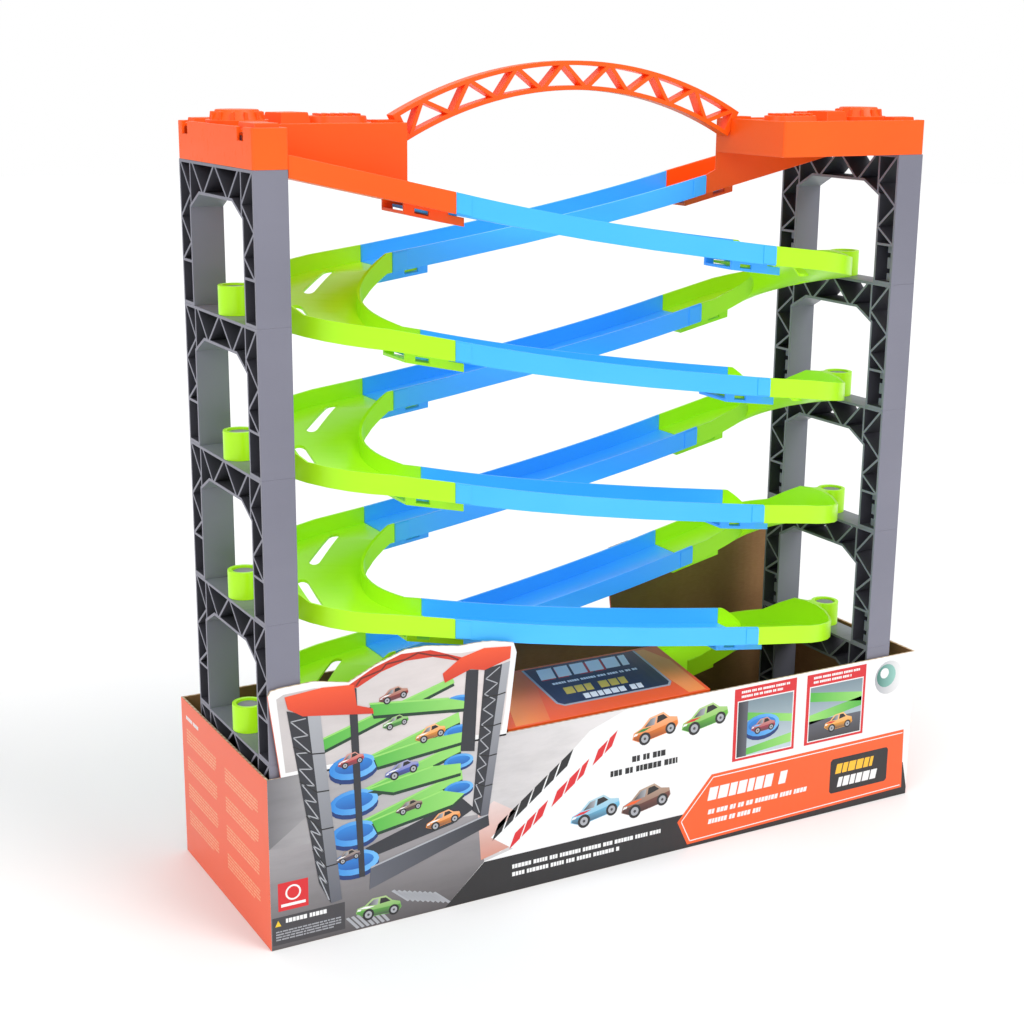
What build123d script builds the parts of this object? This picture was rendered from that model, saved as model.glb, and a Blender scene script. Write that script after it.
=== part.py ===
"""Downhill race-track set for small die-cast cars, standing in its open cardboard display tray.

Two towers of five stacked frames carry two launch platforms, an arch between them, and two channels
that run down side by side as a double helix of straight tracks and U-turn curves. A catch basin joins
the tower feet. The whole set looks the same after half a turn about the vertical axis.

Millimetres. +Z is up, +X runs from the left tower to the right one, and +Y points to the back. The
origin is on the underside of the tray, midway between the towers.
"""
from math import cos, radians, sin
import os

from build123d import *

os.makedirs("parts", exist_ok=True)

# ---- driving dimensions ----
CARD = 1.5                 # thickness of the tray's corrugated card
LIFT = 0.3                 # clearance between the tray's floor and the set that stands on it
FOOT_H = 26.8              # height of a tower foot
FRAME_H = 75.0             # height of one tower frame
FRAME_COUNT = 5            # frames in a tower
TOWER_IN = 187.8           # inner face of a tower, from the middle of the set
TOWER_OUT = 205.6          # outer face of a tower
TOWER_Y = 53.85            # half depth of a tower
LEG_Y = 37.8               # half width of the window between a frame's legs
WALL = 1.6                 # wall of every moulded piece
RIB = 1.5                  # truss rib of a tower frame

LANE_IN = 9.0              # inner side of a channel, from the middle of the set
LANE_OUT = 51.8            # outer side of a channel
SIDE_H = 11.0              # height of a channel's side walls
ENTRY_X = 104.6            # joint where a track runs into a curve
EXIT_X = 97.7              # joint where a curve runs out into a track
ENTRY_TOP = 26.2           # wall top at that entry joint, above the seam the curve hangs on
EXIT_TOP = -13.0           # wall top at the exit joint
LEVELS = 4                 # curves on each tower

PLATFORM_H = 19.5          # height of a launch platform's wall
PLATFORM_END = 104.5       # where its deck ends
ARCH_R = 229.3             # outer radius of the arch
ARCH_DEPTH = 15.5          # depth of its truss
ARCH_W = 8.0               # its thickness

TRAY_LEFT = -208.4
TRAY_RIGHT = 225.4
TRAY_FRONT = -56.1
TRAY_BACK = 80.5
TRAY_TOP = 96.7

# ---- worked out from them ----
FOOT_Z = CARD + LIFT
TOWER_Z = FOOT_Z + FOOT_H
TOP_Z = TOWER_Z + FRAME_COUNT * FRAME_H
TOWER_T = TOWER_OUT - TOWER_IN
TOWER_MID = (TOWER_IN + TOWER_OUT) / 2
LANE_MID = (LANE_IN + LANE_OUT) / 2
START_TOP = FRAME_H + EXIT_TOP  # wall top where a straight track starts, above the seam it runs to


def seam(level):
    """Height of the top of the frame that the curve of this level (1 is the highest) sits on."""
    return TOWER_Z + FRAME_H * (FRAME_COUNT - level)


def home(height, side):
    """Plane of a piece at this height. Side 1 is as drawn, side -1 is turned half round."""
    return Plane(origin=(0, 0, height), x_dir=(side, 0, 0), z_dir=(0, 0, 1))


def place(label, piece, plane):
    """Write one copy of a piece, at its own place in the set, as its own node."""
    with BuildPart(plane) as node:
        add(piece)
    node.part.label = label
    export_step(node.part, f"parts/{label}.step")


def side_plane(y):
    """Upright plane across Y, with sketch x along X and sketch y along Z. It extrudes towards -Y."""
    return Plane.XZ.offset(-y)


def bar(points, y_low, y_high, mode=Mode.ADD):
    """Side outline in (x, z), extruded from y_low to y_high inside the current part."""
    with BuildSketch(side_plane(y_high)) as side_view:
        with BuildLine():
            Polyline(*points, close=True)
        make_face()
    extrude(side_view.sketch, amount=y_high - y_low, mode=mode)


def block(x, y, z, mode=Mode.ADD):
    """Upright box given by its (low, high) on each axis."""
    with BuildSketch(Plane.XY.offset(z[0])) as plan:
        with Locations(((x[0] + x[1]) / 2, (y[0] + y[1]) / 2)):
            Rectangle(x[1] - x[0], y[1] - y[0])
    extrude(plan.sketch, amount=z[1] - z[0], mode=mode)


# ---- tower frame: a portal of two legs and a beam, open trusses on its two broad faces ----
BEAM_Z = 58.5              # underside of the beam
CHAMFER_Y = 24.0           # where the window's cut corners meet the beam
CHAMFER_Z = 51.0           # where they meet the legs
PEG_R = 6.0
PEG_H = 14.0
TENON_Y = 45.6             # tenons under the legs, and their mortises in the frame below
TENON = (8.0, 5.0, 2.9)
MORTISE_GAP = 0.2
LATCH_Z = (WALL - 0.3, 22.6)  # upright latch bar in the bottom cell of each leg
LATCH_W = 8.0
LATCH_RECESS = 4.2
LATCH_NOTCH = (2.4, 2.6)   # depth and height of the two notches in its free edge
LATCH_NOTCH_Z = (7.4, 16.6)


def frame_outline():
    """Closed outline of the portal in (y, z)."""
    with BuildLine() as portal:
        Polyline(
            (-TOWER_Y, 0), (-TOWER_Y, FRAME_H), (TOWER_Y, FRAME_H), (TOWER_Y, 0),
            (LEG_Y, 0), (LEG_Y, CHAMFER_Z), (CHAMFER_Y, BEAM_Z),
            (-CHAMFER_Y, BEAM_Z), (-LEG_Y, CHAMFER_Z), (-LEG_Y, 0),
            close=True,
        )
    make_face(portal.line)


def truss_lines():
    """Centre lines of the ribs in (y, z)."""
    outer = TOWER_Y - WALL / 2
    inner = LEG_Y - WALL / 2
    lines = [[(-34.5, FRAME_H), (-18, BEAM_Z), (0, FRAME_H), (18, BEAM_Z), (34.5, FRAME_H)]]
    for side in (-1, 1):
        leg = [(outer, FRAME_H), (inner, 58), (outer, 45.5), (inner + WALL, 33), (outer, 23)]
        lines.append([(side * y, z) for y, z in leg])
        lines.append([(side * inner, FRAME_H), (side * inner, CHAMFER_Z)])
        lines.append([(side * LEG_Y, 23), (side * outer, 23)])
    return lines


def mortises(z, depth):
    """Slots for the tenons of the piece above, cut down from this height."""
    with BuildSketch(Plane.XY.offset(z - depth)) as slots:
        with Locations((TOWER_MID, TENON_Y), (TOWER_MID, -TENON_Y)):
            Rectangle(TENON[0] + 2 * MORTISE_GAP, TENON[1] + 2 * MORTISE_GAP)
    extrude(slots.sketch, amount=depth, mode=Mode.SUBTRACT)


def tenons(z):
    """Two tenons hanging below this height."""
    with BuildSketch(Plane.XY.offset(z - TENON[2])) as pair:
        with Locations((TOWER_MID, TENON_Y), (TOWER_MID, -TENON_Y)):
            Rectangle(TENON[0], TENON[1])
    extrude(pair.sketch, amount=TENON[2])


face_plane = Plane.YZ.offset(TOWER_IN)
with BuildPart() as tower_frame:
    with BuildSketch(face_plane):
        frame_outline()
    extrude(amount=TOWER_T)
    with BuildSketch(face_plane):
        frame_outline()
        offset(amount=-WALL, kind=Kind.INTERSECTION, mode=Mode.REPLACE)
        for line in truss_lines():
            for start, end in zip(line, line[1:]):
                with BuildLine(mode=Mode.PRIVATE) as rib_line:
                    Line(start, end)
                trace(rib_line.line, line_width=RIB, mode=Mode.SUBTRACT)
    extrude(amount=TOWER_T, mode=Mode.SUBTRACT)
    # a latch bar stands in the bottom cell of each leg, behind each face and at opposite sides
    cell = (LEG_Y + WALL - 0.3, TOWER_Y - WALL + 0.3)
    for leg in (cell, (-cell[1], -cell[0])):
        for near, edge, toward in ((LATCH_RECESS, leg[0], 1), (TOWER_T - LATCH_RECESS - WALL, leg[1], -1)):
            with BuildSketch(face_plane.offset(near)):
                with Locations((edge + toward * LATCH_W / 2, (LATCH_Z[0] + LATCH_Z[1]) / 2)):
                    Rectangle(LATCH_W, LATCH_Z[1] - LATCH_Z[0])
                for z in LATCH_NOTCH_Z:
                    with Locations((edge + toward * (LATCH_W - LATCH_NOTCH[0] / 2), z)):
                        Rectangle(*LATCH_NOTCH, mode=Mode.SUBTRACT)
            extrude(amount=WALL)
    mortises(FRAME_H, WALL + 0.5)
    tenons(0)
    with BuildSketch(Plane.XY.offset(FRAME_H)):
        with Locations((TOWER_MID, 0)):
            Circle(PEG_R)
    extrude(amount=PEG_H)
    peg_top = tower_frame.faces().sort_by(Axis.Z)[-1]
    fillet(peg_top.edges(), 0.8)

for side, tower in ((-1, "left"), (1, "right")):
    for number in range(1, FRAME_COUNT + 1):
        height = TOWER_Z + FRAME_H * (number - 1)
        place(f"{tower}_tower_frame_{number}", tower_frame.part, home(height, side))

# ---- tower foot: a hollow block under the lowest frame ----
with BuildPart() as tower_foot:
    block((TOWER_IN, TOWER_OUT), (-TOWER_Y, TOWER_Y), (0, FOOT_H))
    inside = (TOWER_IN + WALL, TOWER_OUT - WALL)
    for y in ((-TOWER_Y + WALL, -18.0), (-18.0 + WALL, 18.0 - WALL), (18.0, TOWER_Y - WALL)):
        block(inside, y, (0, FOOT_H - WALL), mode=Mode.SUBTRACT)
    mortises(FOOT_H, WALL + 1.5)

for side, tower in ((-1, "left"), (1, "right")):
    place(f"{tower}_tower_foot", tower_foot.part, home(FOOT_Z, side))

# ---- joint between two channel pieces ----
# The upper piece ends in a sleeve that reaches under the lower piece, and the lower piece's tongue
# slides up into that sleeve. Both follow the slope of the channel's floor.
SLEEVE_BACK = 25.0         # length of the sleeve under its own piece
SLEEVE_REACH = 9.0         # how far it reaches under the next piece
SLEEVE_W = 27.0
SLEEVE_DROP = 5.4
TONGUE_W = 22.0
TONGUE_T = 1.6
TONGUE_BACK = 20.0         # how far the tongue reaches under the piece above
REACH_GAP = 0.9            # gap between that reach and the next piece's floor
SLEEVE_ROOT = 0.9          # how deep the sleeve's walls go into the floor above them


def sloped(x_low, x_high, top, bottom, joint, slope):
    """Four corners in (x, z) of a band that follows the floor's slope past the joint."""
    x0, z0 = joint
    return [
        (x_low, z0 + slope * (x_low - x0) + bottom),
        (x_high, z0 + slope * (x_high - x0) + bottom),
        (x_high, z0 + slope * (x_high - x0) + top),
        (x_low, z0 + slope * (x_low - x0) + top),
    ]


def sleeve(joint, slope, down, y_mid):
    """Sleeve under the lower end of a piece. Down is +1 where the channel falls towards +X."""
    def run(back, reach):
        ends = sorted((joint[0] - down * back, joint[0] + down * reach))
        return ends

    low, high = y_mid - SLEEVE_W / 2, y_mid + SLEEVE_W / 2
    near = run(SLEEVE_BACK, SLEEVE_REACH)
    own = run(SLEEVE_BACK, 0)
    bar(sloped(*near, -SLEEVE_DROP + WALL, -SLEEVE_DROP, joint, slope), low, high)
    for y in ((low, low + WALL), (high - WALL, high)):
        bar(sloped(*near, -REACH_GAP, -SLEEVE_DROP, joint, slope), *y)
        bar(sloped(*own, SLEEVE_ROOT, -SLEEVE_DROP, joint, slope), *y)
    window = sorted((joint[0] - down * 19.0, joint[0] - down * 11.0))
    bar(sloped(*window, -1.4, -SLEEVE_DROP + WALL, joint, slope), low - 1, high + 1, mode=Mode.SUBTRACT)


def tongue(joint, slope, down, y_mid):
    """Tongue on the upper end of a piece, with two pins that show in the sleeve's windows."""
    low, high = y_mid - TONGUE_W / 2, y_mid + TONGUE_W / 2
    reach = sorted((joint[0] - down * TONGUE_BACK, joint[0] + down * 6.0))
    root = sorted((joint[0] + down * 0.4, joint[0] + down * 6.0))
    bar(sloped(*reach, -1.4, -1.4 - TONGUE_T, joint, slope), low, high)
    bar(sloped(*root, 0.4, -1.4 - TONGUE_T, joint, slope), low, high)


def channel(x0, top0, slope0, x1, top1, slope1, y_low, y_high):
    """Channel whose wall top falls on a smooth curve from (x0, top0) to (x1, top1)."""
    for drop, lower, low, high, mode in (
        (0, SIDE_H, y_low, y_high, Mode.ADD),
        (-2, SIDE_H - WALL, y_low + WALL, y_high - WALL, Mode.SUBTRACT),
    ):
        with BuildSketch(side_plane(high)) as side_view:
            with BuildLine():
                ends = ((x0, top0 - drop), (x1, top1 - drop))
                upper = Spline(*ends, tangents=((1, slope0), (1, slope1)))
                ends = ((x0, top0 - lower), (x1, top1 - lower))
                under = Spline(*ends, tangents=((1, slope0), (1, slope1)))
                Line(upper @ 0, under @ 0)
                Line(upper @ 1, under @ 1)
            make_face()
        extrude(side_view.sketch, amount=high - low, mode=mode)


# ---- straight track: the front one of a level, falling from left to right ----
TRACK_SLOPES = (-0.24, -0.14)
BAND = 0.5                 # raised band around both ends of a track
BAND_L = 9.0
JOINT_GAP = 0.15

with BuildPart() as straight_track:
    top_start = START_TOP
    top_end = ENTRY_TOP
    channel(
        -EXIT_X + JOINT_GAP, top_start, TRACK_SLOPES[0],
        ENTRY_X - JOINT_GAP, top_end, TRACK_SLOPES[1], -LANE_OUT, -LANE_IN,
    )
    upper_joint = (-EXIT_X, top_start - SIDE_H)
    lower_joint = (ENTRY_X, top_end - SIDE_H)
    for joint, slope, toward in ((upper_joint, TRACK_SLOPES[0], 1), (lower_joint, TRACK_SLOPES[1], -1)):
        ends = sorted((joint[0] + toward * JOINT_GAP, joint[0] + toward * BAND_L))
        for y in ((-LANE_OUT - BAND, -LANE_OUT + WALL), (-LANE_IN - WALL, -LANE_IN + BAND)):
            bar(sloped(*ends, SIDE_H - 0.6, 0.6, joint, slope), *y)
    tongue(upper_joint, TRACK_SLOPES[0], 1, -LANE_MID)
    sleeve(lower_joint, TRACK_SLOPES[1], 1, -LANE_MID)

for side, lane in ((1, "front"), (-1, "back")):
    for level in range(1, LEVELS + 1):
        place(f"{lane}_track_{level}", straight_track.part, home(seam(level), side))

# ---- U-turn curve: the right one of a level, entered in front and left at the back ----
TURN_OUT_X = 135.4         # centre of the outer wall's half circle
TURN_IN_X = 107.5          # centre of the inner wall's half ellipse
TURN_IN_REACH = 20.0       # its half length along X
TURN_TOP = (22.3, -4.6)    # outer wall top where the turn begins and where it ends
TURN_IN_TOP = (25.8, -10.9)  # the same for the inner wall
BANK = 3.0                 # extra fall of the inner wall at mid turn, which banks the floor
TURN_STEPS = 15
RING_R = 8.6
RING_HOLE = 6.4
RING_H = 15.0
NECK_Y = 5.5
RAISE_FULL = 15.0          # degrees either side of mid turn where the wall rises to the ring
RAISE_END = 40.0
SLOTS = ((137.0, -32.5, 42.0), (160.7, 5.5, 88.0))  # x, y and direction of the floor's two slots
SLOT_L = 33.0
SLOT_W = 6.0


def station(degrees):
    """Outer and inner edge of the turn, as (x, y, wall top). -90 is the entry and 90 the exit."""
    angle = radians(degrees)
    share = (degrees + 90) / 180
    outer_top = TURN_TOP[0] + share * (TURN_TOP[1] - TURN_TOP[0])
    inner_top = TURN_IN_TOP[0] + share * (TURN_IN_TOP[1] - TURN_IN_TOP[0]) - BANK * cos(angle)
    outer = (TURN_OUT_X + LANE_OUT * cos(angle), LANE_OUT * sin(angle), outer_top)
    inner = (TURN_IN_X + TURN_IN_REACH * cos(angle), LANE_IN * sin(angle), inner_top)
    return outer, inner


def raised(degrees, outer_top):
    """Extra height of the outer wall, which rises to the ring at mid turn."""
    away = (RAISE_END - abs(degrees)) / (RAISE_END - RAISE_FULL)
    return max(0.0, RING_H - outer_top) * min(1.0, max(0.0, away))


def section(outer, inner, extra=0.0):
    """U-shaped section of the channel between two edge points, as a sketch for the loft."""
    across = Vector(inner[0] - outer[0], inner[1] - outer[1], 0)
    width = across.length
    plane = Plane(origin=(outer[0], outer[1], 0), x_dir=across, z_dir=across.cross(Vector(0, 0, 1)))
    fall = (inner[2] - outer[2]) / width
    with BuildSketch(plane) as slice_view:
        with BuildLine():
            Polyline(
                (0, outer[2] - SIDE_H), (0, outer[2] + extra),
                (WALL, outer[2] + fall * WALL + extra), (WALL, outer[2] + fall * WALL - SIDE_H + WALL),
                (width - WALL, inner[2] - fall * WALL - SIDE_H + WALL), (width - WALL, inner[2] - fall * WALL),
                (width, inner[2]), (width, inner[2] - SIDE_H),
                close=True,
            )
        make_face()
    return slice_view.sketch


with BuildPart() as curve:
    slices = [section((ENTRY_X, -LANE_OUT, ENTRY_TOP), (ENTRY_X, -LANE_IN, ENTRY_TOP))]
    for step in range(TURN_STEPS + 1):
        turn = -90 + 180 * step / TURN_STEPS
        outer_edge, inner_edge = station(turn)
        slices.append(section(outer_edge, inner_edge, raised(turn, outer_edge[2])))
    slices.append(section((EXIT_X, LANE_OUT, EXIT_TOP), (EXIT_X, LANE_IN, EXIT_TOP)))
    loft(slices, ruled=True)
    for x, y, direction in SLOTS:
        with BuildSketch(Plane.XY.offset(-20)):
            with Locations(Location((x, y), direction)):
                SlotOverall(SLOT_L, SLOT_W)
        extrude(amount=60, mode=Mode.SUBTRACT)
    # neck and ring, which drops over the peg of the frame below
    block((TURN_OUT_X + LANE_OUT - WALL / 2, TOWER_MID), (-NECK_Y, NECK_Y), (0, RING_H))
    with BuildSketch(Plane.XY):
        with Locations((TOWER_MID, 0)):
            Circle(RING_R)
    extrude(amount=RING_H)
    with BuildSketch(Plane.XY):
        with Locations((TOWER_MID, 0)):
            Circle(RING_HOLE)
    extrude(amount=RING_H, mode=Mode.SUBTRACT)
    entry_slope = -(ENTRY_TOP - TURN_TOP[0]) / (TURN_OUT_X - ENTRY_X)
    exit_slope = -(EXIT_TOP - TURN_TOP[1]) / (TURN_OUT_X - EXIT_X)
    tongue((ENTRY_X, ENTRY_TOP - SIDE_H), entry_slope, 1, -LANE_MID)
    sleeve((EXIT_X, EXIT_TOP - SIDE_H), exit_slope, -1, LANE_MID)

for side, tower in ((-1, "left"), (1, "right")):
    for level in range(1, LEVELS + 1):
        place(f"{tower}_curve_{level}", curve.part, home(seam(level), side))

# ---- launch platform: the right one, with its ramp along the back ----
RAMP_Y = (LANE_IN, 52.8)
RAMP_TOP = 7.0             # wall top where the ramp leaves the tower, above the platform's underside
RAMP_BACK = 187.3
RAMP_SLOPE = (START_TOP - FRAME_H - RAMP_TOP) / (RAMP_BACK - EXIT_X)
DECK_DROP = 1.0            # deck below the rim
DECK_T = 2.0
DECK_RIM = 2.0
NOTCH_Y = (-43.0, 38.0)    # notches in the rim of the outer end
NOTCH_W = 8.0
NOTCH_DEPTH = 6.5
TURBINE = (186.5, -17.0)   # middle of the finned turbine casting
TURBINE_R = (16.0, 13.5)   # its base and the cone on it
TURBINE_H = (2.4, 5.0)
TURBINE_FINS = 12
ENGINE = (126.5, -30.0)    # middle of the ridged block
RIDGES = 5
SOCKET_X = (109.0, 115.4)  # socket in the deck for the arch's tenon


def platform_outline():
    """Plan of the deck: a broad front part, and a corner over the tower's back leg."""
    with BuildLine() as plan:
        Polyline(
            (PLATFORM_END, -54.0), (TOWER_OUT, -54.0), (TOWER_OUT, 54.0), (RAMP_BACK, 54.0),
            (RAMP_BACK, LANE_IN + WALL), (PLATFORM_END, LANE_IN + WALL), close=True,
        )
    make_face(plan.line)


with BuildPart() as platform:
    with BuildSketch():
        platform_outline()
        fillet([corner for corner in vertices() if abs(corner.Y) > LANE_OUT], 1.5)
    extrude(amount=PLATFORM_H)
    with BuildSketch():
        platform_outline()
        offset(amount=-WALL, kind=Kind.INTERSECTION, mode=Mode.REPLACE)
    extrude(amount=PLATFORM_H - DECK_DROP - DECK_T, mode=Mode.SUBTRACT)
    with BuildSketch(Plane.XY.offset(PLATFORM_H - DECK_DROP)):
        platform_outline()
        offset(amount=-DECK_RIM, kind=Kind.INTERSECTION, mode=Mode.REPLACE)
    extrude(amount=DECK_DROP, mode=Mode.SUBTRACT)
    # ramp: floor, outer wall, and an inner wall that climbs up to the deck
    ramp_end = START_TOP - FRAME_H
    floor_end = (EXIT_X, ramp_end - SIDE_H)
    floor_back = (RAMP_BACK, floor_end[1] - RAMP_SLOPE * (RAMP_BACK - EXIT_X))
    lift_end = (EXIT_X, floor_end[1] + WALL)
    lift_back = (RAMP_BACK, floor_back[1] + WALL)
    bar([floor_end, floor_back, lift_back, lift_end], *RAMP_Y)
    outer_wall = [floor_end, floor_back, (RAMP_BACK, RAMP_TOP), (EXIT_X, ramp_end)]
    bar(outer_wall, RAMP_Y[1] - WALL, RAMP_Y[1])
    inner_wall = [floor_end, floor_back, (RAMP_BACK, 1.0), (PLATFORM_END, 1.0)]
    bar(inner_wall + [(PLATFORM_END, ramp_end + 3.0), (EXIT_X, ramp_end)], LANE_IN, LANE_IN + WALL)
    sleeve(floor_end, -RAMP_SLOPE, -1, LANE_MID)
    # notches in the rim of the outer end
    for y in NOTCH_Y:
        block((TOWER_OUT - 2.3, TOWER_OUT + 1), (y - NOTCH_W / 2, y + NOTCH_W / 2),
              (PLATFORM_H - NOTCH_DEPTH, PLATFORM_H + 1), mode=Mode.SUBTRACT)
    # castings on the deck: a turbine with fins, a ridged block, a wedge and two slabs
    deck = Plane.XY.offset(PLATFORM_H - DECK_DROP)
    with BuildSketch(deck):
        with Locations(TURBINE):
            Circle(TURBINE_R[0])
    extrude(amount=TURBINE_H[0])
    with BuildSketch(deck.offset(TURBINE_H[0])):
        with Locations(TURBINE):
            Circle(TURBINE_R[1])
    extrude(amount=TURBINE_H[1], taper=28)
    for fin in range(TURBINE_FINS):
        with BuildSketch(deck.offset(TURBINE_H[0])):
            with Locations(Location(TURBINE, fin * 360 / TURBINE_FINS)):
                with Locations((10.2, 0)):
                    Rectangle(7.6, 2.2)
        extrude(amount=TURBINE_H[1] - 1.0, taper=6)
    with BuildSketch(deck):
        with Locations(ENGINE):
            SlotOverall(34.0, 18.0)
    extrude(amount=3.4, taper=14)
    for ridge in range(RIDGES):
        with BuildSketch(deck.offset(3.0)):
            with Locations((ENGINE[0] + 5.0 * (ridge - 2), ENGINE[1])):
                Rectangle(2.4, 13.0)
        extrude(amount=1.6)
    with BuildSketch(deck):
        with BuildLine():
            Polyline((150, -34), (168, -30), (164, -14), (146, -18), close=True)
        make_face()
    extrude(amount=5.6, taper=10)
    with BuildSketch(deck):
        with Locations((196.0, 38.0)):
            Rectangle(13.0, 22.0)
    extrude(amount=3.0, taper=8)
    with BuildSketch(deck):
        with Locations((194.6, -43.6)):
            Rectangle(15.0, 10.0)
    extrude(amount=2.6, taper=8)
    # socket for the arch's foot, through the deck
    block(SOCKET_X, (-2.7, 2.7), (PLATFORM_H - DECK_DROP - DECK_T - 1, PLATFORM_H + 1),
          mode=Mode.SUBTRACT)

for side, tower in ((-1, "left"), (1, "right")):
    place(f"{tower}_launch_platform", platform.part, home(TOP_Z, side))

# ---- truss arch between the platforms ----
ARCH_TOP = 51.0            # crown above the platforms' underside
ARCH_BAYS = 15
ARCH_SPAN = 28.6           # degrees from the crown to the end of the truss
FLANGE = 2.4
DIAGONAL = 2.2
PAD_X = (106.6, 118.5)     # pad under each end of the arch
PAD_H = 1.2
FOOT_TOP = PLATFORM_H - DECK_DROP
arch_centre = ARCH_TOP - ARCH_R
arch_inner = ARCH_R - ARCH_DEPTH


def arch_point(radius, turn):
    """Point of the arch in (x, z), turn degrees from its crown."""
    return (radius * sin(radians(turn)), arch_centre + radius * cos(radians(turn)))


with BuildPart() as arch:
    with BuildSketch(side_plane(ARCH_W / 2)):
        with BuildLine():
            top = CenterArc((0, arch_centre), ARCH_R, 90 - ARCH_SPAN, 2 * ARCH_SPAN)
            bottom = CenterArc((0, arch_centre), arch_inner, 90 - ARCH_SPAN, 2 * ARCH_SPAN)
            Line(top @ 0, bottom @ 0)
            Line(top @ 1, bottom @ 1)
        make_face()
        with BuildLine():
            top = CenterArc((0, arch_centre), ARCH_R - FLANGE, 91 - ARCH_SPAN, 2 * ARCH_SPAN - 2)
            bottom = CenterArc((0, arch_centre), arch_inner + FLANGE, 91 - ARCH_SPAN, 2 * ARCH_SPAN - 2)
            Line(top @ 0, bottom @ 0)
            Line(top @ 1, bottom @ 1)
        make_face(mode=Mode.SUBTRACT)
        pitch = 2 * (ARCH_SPAN - 1) / ARCH_BAYS
        for bay in range(ARCH_BAYS):
            turn = -ARCH_SPAN + 1 + bay * pitch
            ends = (ARCH_R - 1, arch_inner + 1) if bay % 2 else (arch_inner + 1, ARCH_R - 1)
            with BuildLine(mode=Mode.PRIVATE) as diagonal:
                Line(arch_point(ends[0], turn), arch_point(ends[1], turn + pitch))
            trace(diagonal.line, line_width=DIAGONAL)
    extrude(amount=ARCH_W)
    # the ends stand on the decks, and the underside stops at the platforms' end walls
    for side in (-1, 1):
        low, high = sorted((side * (PLATFORM_END - 0.2), side * 140.0))
        block((low, high), (-ARCH_W, ARCH_W), (-40, PLATFORM_H), mode=Mode.SUBTRACT)
        tenon = sorted((side * (SOCKET_X[0] + 0.3), side * (SOCKET_X[1] - 0.3)))
        block(tenon, (-2.4, 2.4), (FOOT_TOP - 2.5, PLATFORM_H + PAD_H))
        pad = sorted((side * PAD_X[0], side * PAD_X[1]))
        block(pad, (-ARCH_W / 2, ARCH_W / 2), (FOOT_TOP, PLATFORM_H + PAD_H))

place("truss_arch", arch.part, home(TOP_Z, 1))

# ---- catch basin between the feet, in two halves ----
BASIN_H = 34.0
BASIN_Y = 50.0
BASIN_X = 187.6
BASIN_T = 2.0
CORNER_R = 26.0
GATE_X = (128.0, 172.0)    # way out for the cars, in the front wall of the left half


def basin_outline(shrink):
    """Plan of one half: square at the seam, rounded at the tower."""
    with BuildLine() as plan:
        Polyline(
            (0.1 + shrink, -BASIN_Y + shrink), (BASIN_X - shrink, -BASIN_Y + shrink),
            (BASIN_X - shrink, BASIN_Y - shrink), (0.1 + shrink, BASIN_Y - shrink), close=True,
        )
    make_face(plan.line)
    fillet(vertices().group_by(Axis.X)[-1], CORNER_R - shrink)


with BuildPart() as basin_half:
    with BuildSketch():
        basin_outline(0)
    extrude(amount=BASIN_H)
    with BuildSketch(Plane.XY.offset(BASIN_T)):
        basin_outline(BASIN_T)
    extrude(amount=BASIN_H, mode=Mode.SUBTRACT)
    # the seam side has only a low sill
    block((-1, BASIN_T + 1), (-BASIN_Y + BASIN_T, BASIN_Y - BASIN_T), (BASIN_T, BASIN_H + 1),
          mode=Mode.SUBTRACT)
    # the long walls lean on upright ribs
    for y in (-BASIN_Y - 1.2, BASIN_Y):
        for x in (24.0, 62.0, 100.0, 138.0):
            block((x, x + 2.0), (y, y + 1.2), (0, BASIN_H - 2))

place("right_basin", basin_half.part, home(FOOT_Z, 1))

with BuildPart() as gate_half:
    add(basin_half.part)
    # turned half round, this wall is the front one
    block(GATE_X, (BASIN_Y - BASIN_T - 1, BASIN_Y + 2), (BASIN_T, BASIN_H + 1), mode=Mode.SUBTRACT)

place("left_basin", gate_half.part, home(FOOT_Z, -1))

# ---- die-cast cars waiting in the basin ----
CAR_L = 72.0
CAR_W = 30.0
WHEEL_R = 5.6
WHEEL_W = 5.0
WHEELBASE = 43.0
AXLE_R = 0.9
AXLE_FIT = 0.05
WELL_Y = 8.6               # wheel wells start this far from the middle of a car
CAR_Z = FOOT_Z + BASIN_T + 0.35
CARS = {"car_1": (-34.0, -22.0, 1), "car_2": (34.0, 22.0, -1)}

with BuildPart() as car_body:
    with BuildSketch(side_plane(CAR_W / 2 - 1)):
        with BuildLine():
            Polyline((-36, 5), (-36, 11.5), (-20, 12.5), (-11, 12.5), (20, 12.5), (34, 9.5), (36, 7.5), (36, 5),
                     close=True)
        make_face()
    extrude(amount=CAR_W - 2)
    block((-34.4, 34.4), (-WELL_Y, WELL_Y), (4, 9), mode=Mode.SUBTRACT)
    for low, high in ((-CAR_W, -WELL_Y), (WELL_Y, CAR_W)):
        for x in (-WHEELBASE / 2, WHEELBASE / 2):
            with BuildSketch(side_plane(high)):
                with Locations((x, WHEEL_R)):
                    Circle(WHEEL_R + 0.8)
            extrude(amount=high - low, mode=Mode.SUBTRACT)
with BuildPart() as car_cabin:
    with BuildSketch(Plane.XY.offset(12.7)):
        with Locations((-3.0, 0)):
            Rectangle(31.0, 23.0)
    extrude(amount=7.0, taper=32)
with BuildPart() as car_chassis:
    block((-34, 34), (-8.2, 8.2), (2.0, 4.8))
    for x in (-WHEELBASE / 2, WHEELBASE / 2):
        block((x - 3, x + 3), (-8.2, 8.2), (2.0, 8.6))
        with BuildSketch(side_plane(CAR_W)):
            with Locations((x, WHEEL_R)):
                Circle(AXLE_R + AXLE_FIT)
        extrude(amount=2 * CAR_W, mode=Mode.SUBTRACT)

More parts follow.
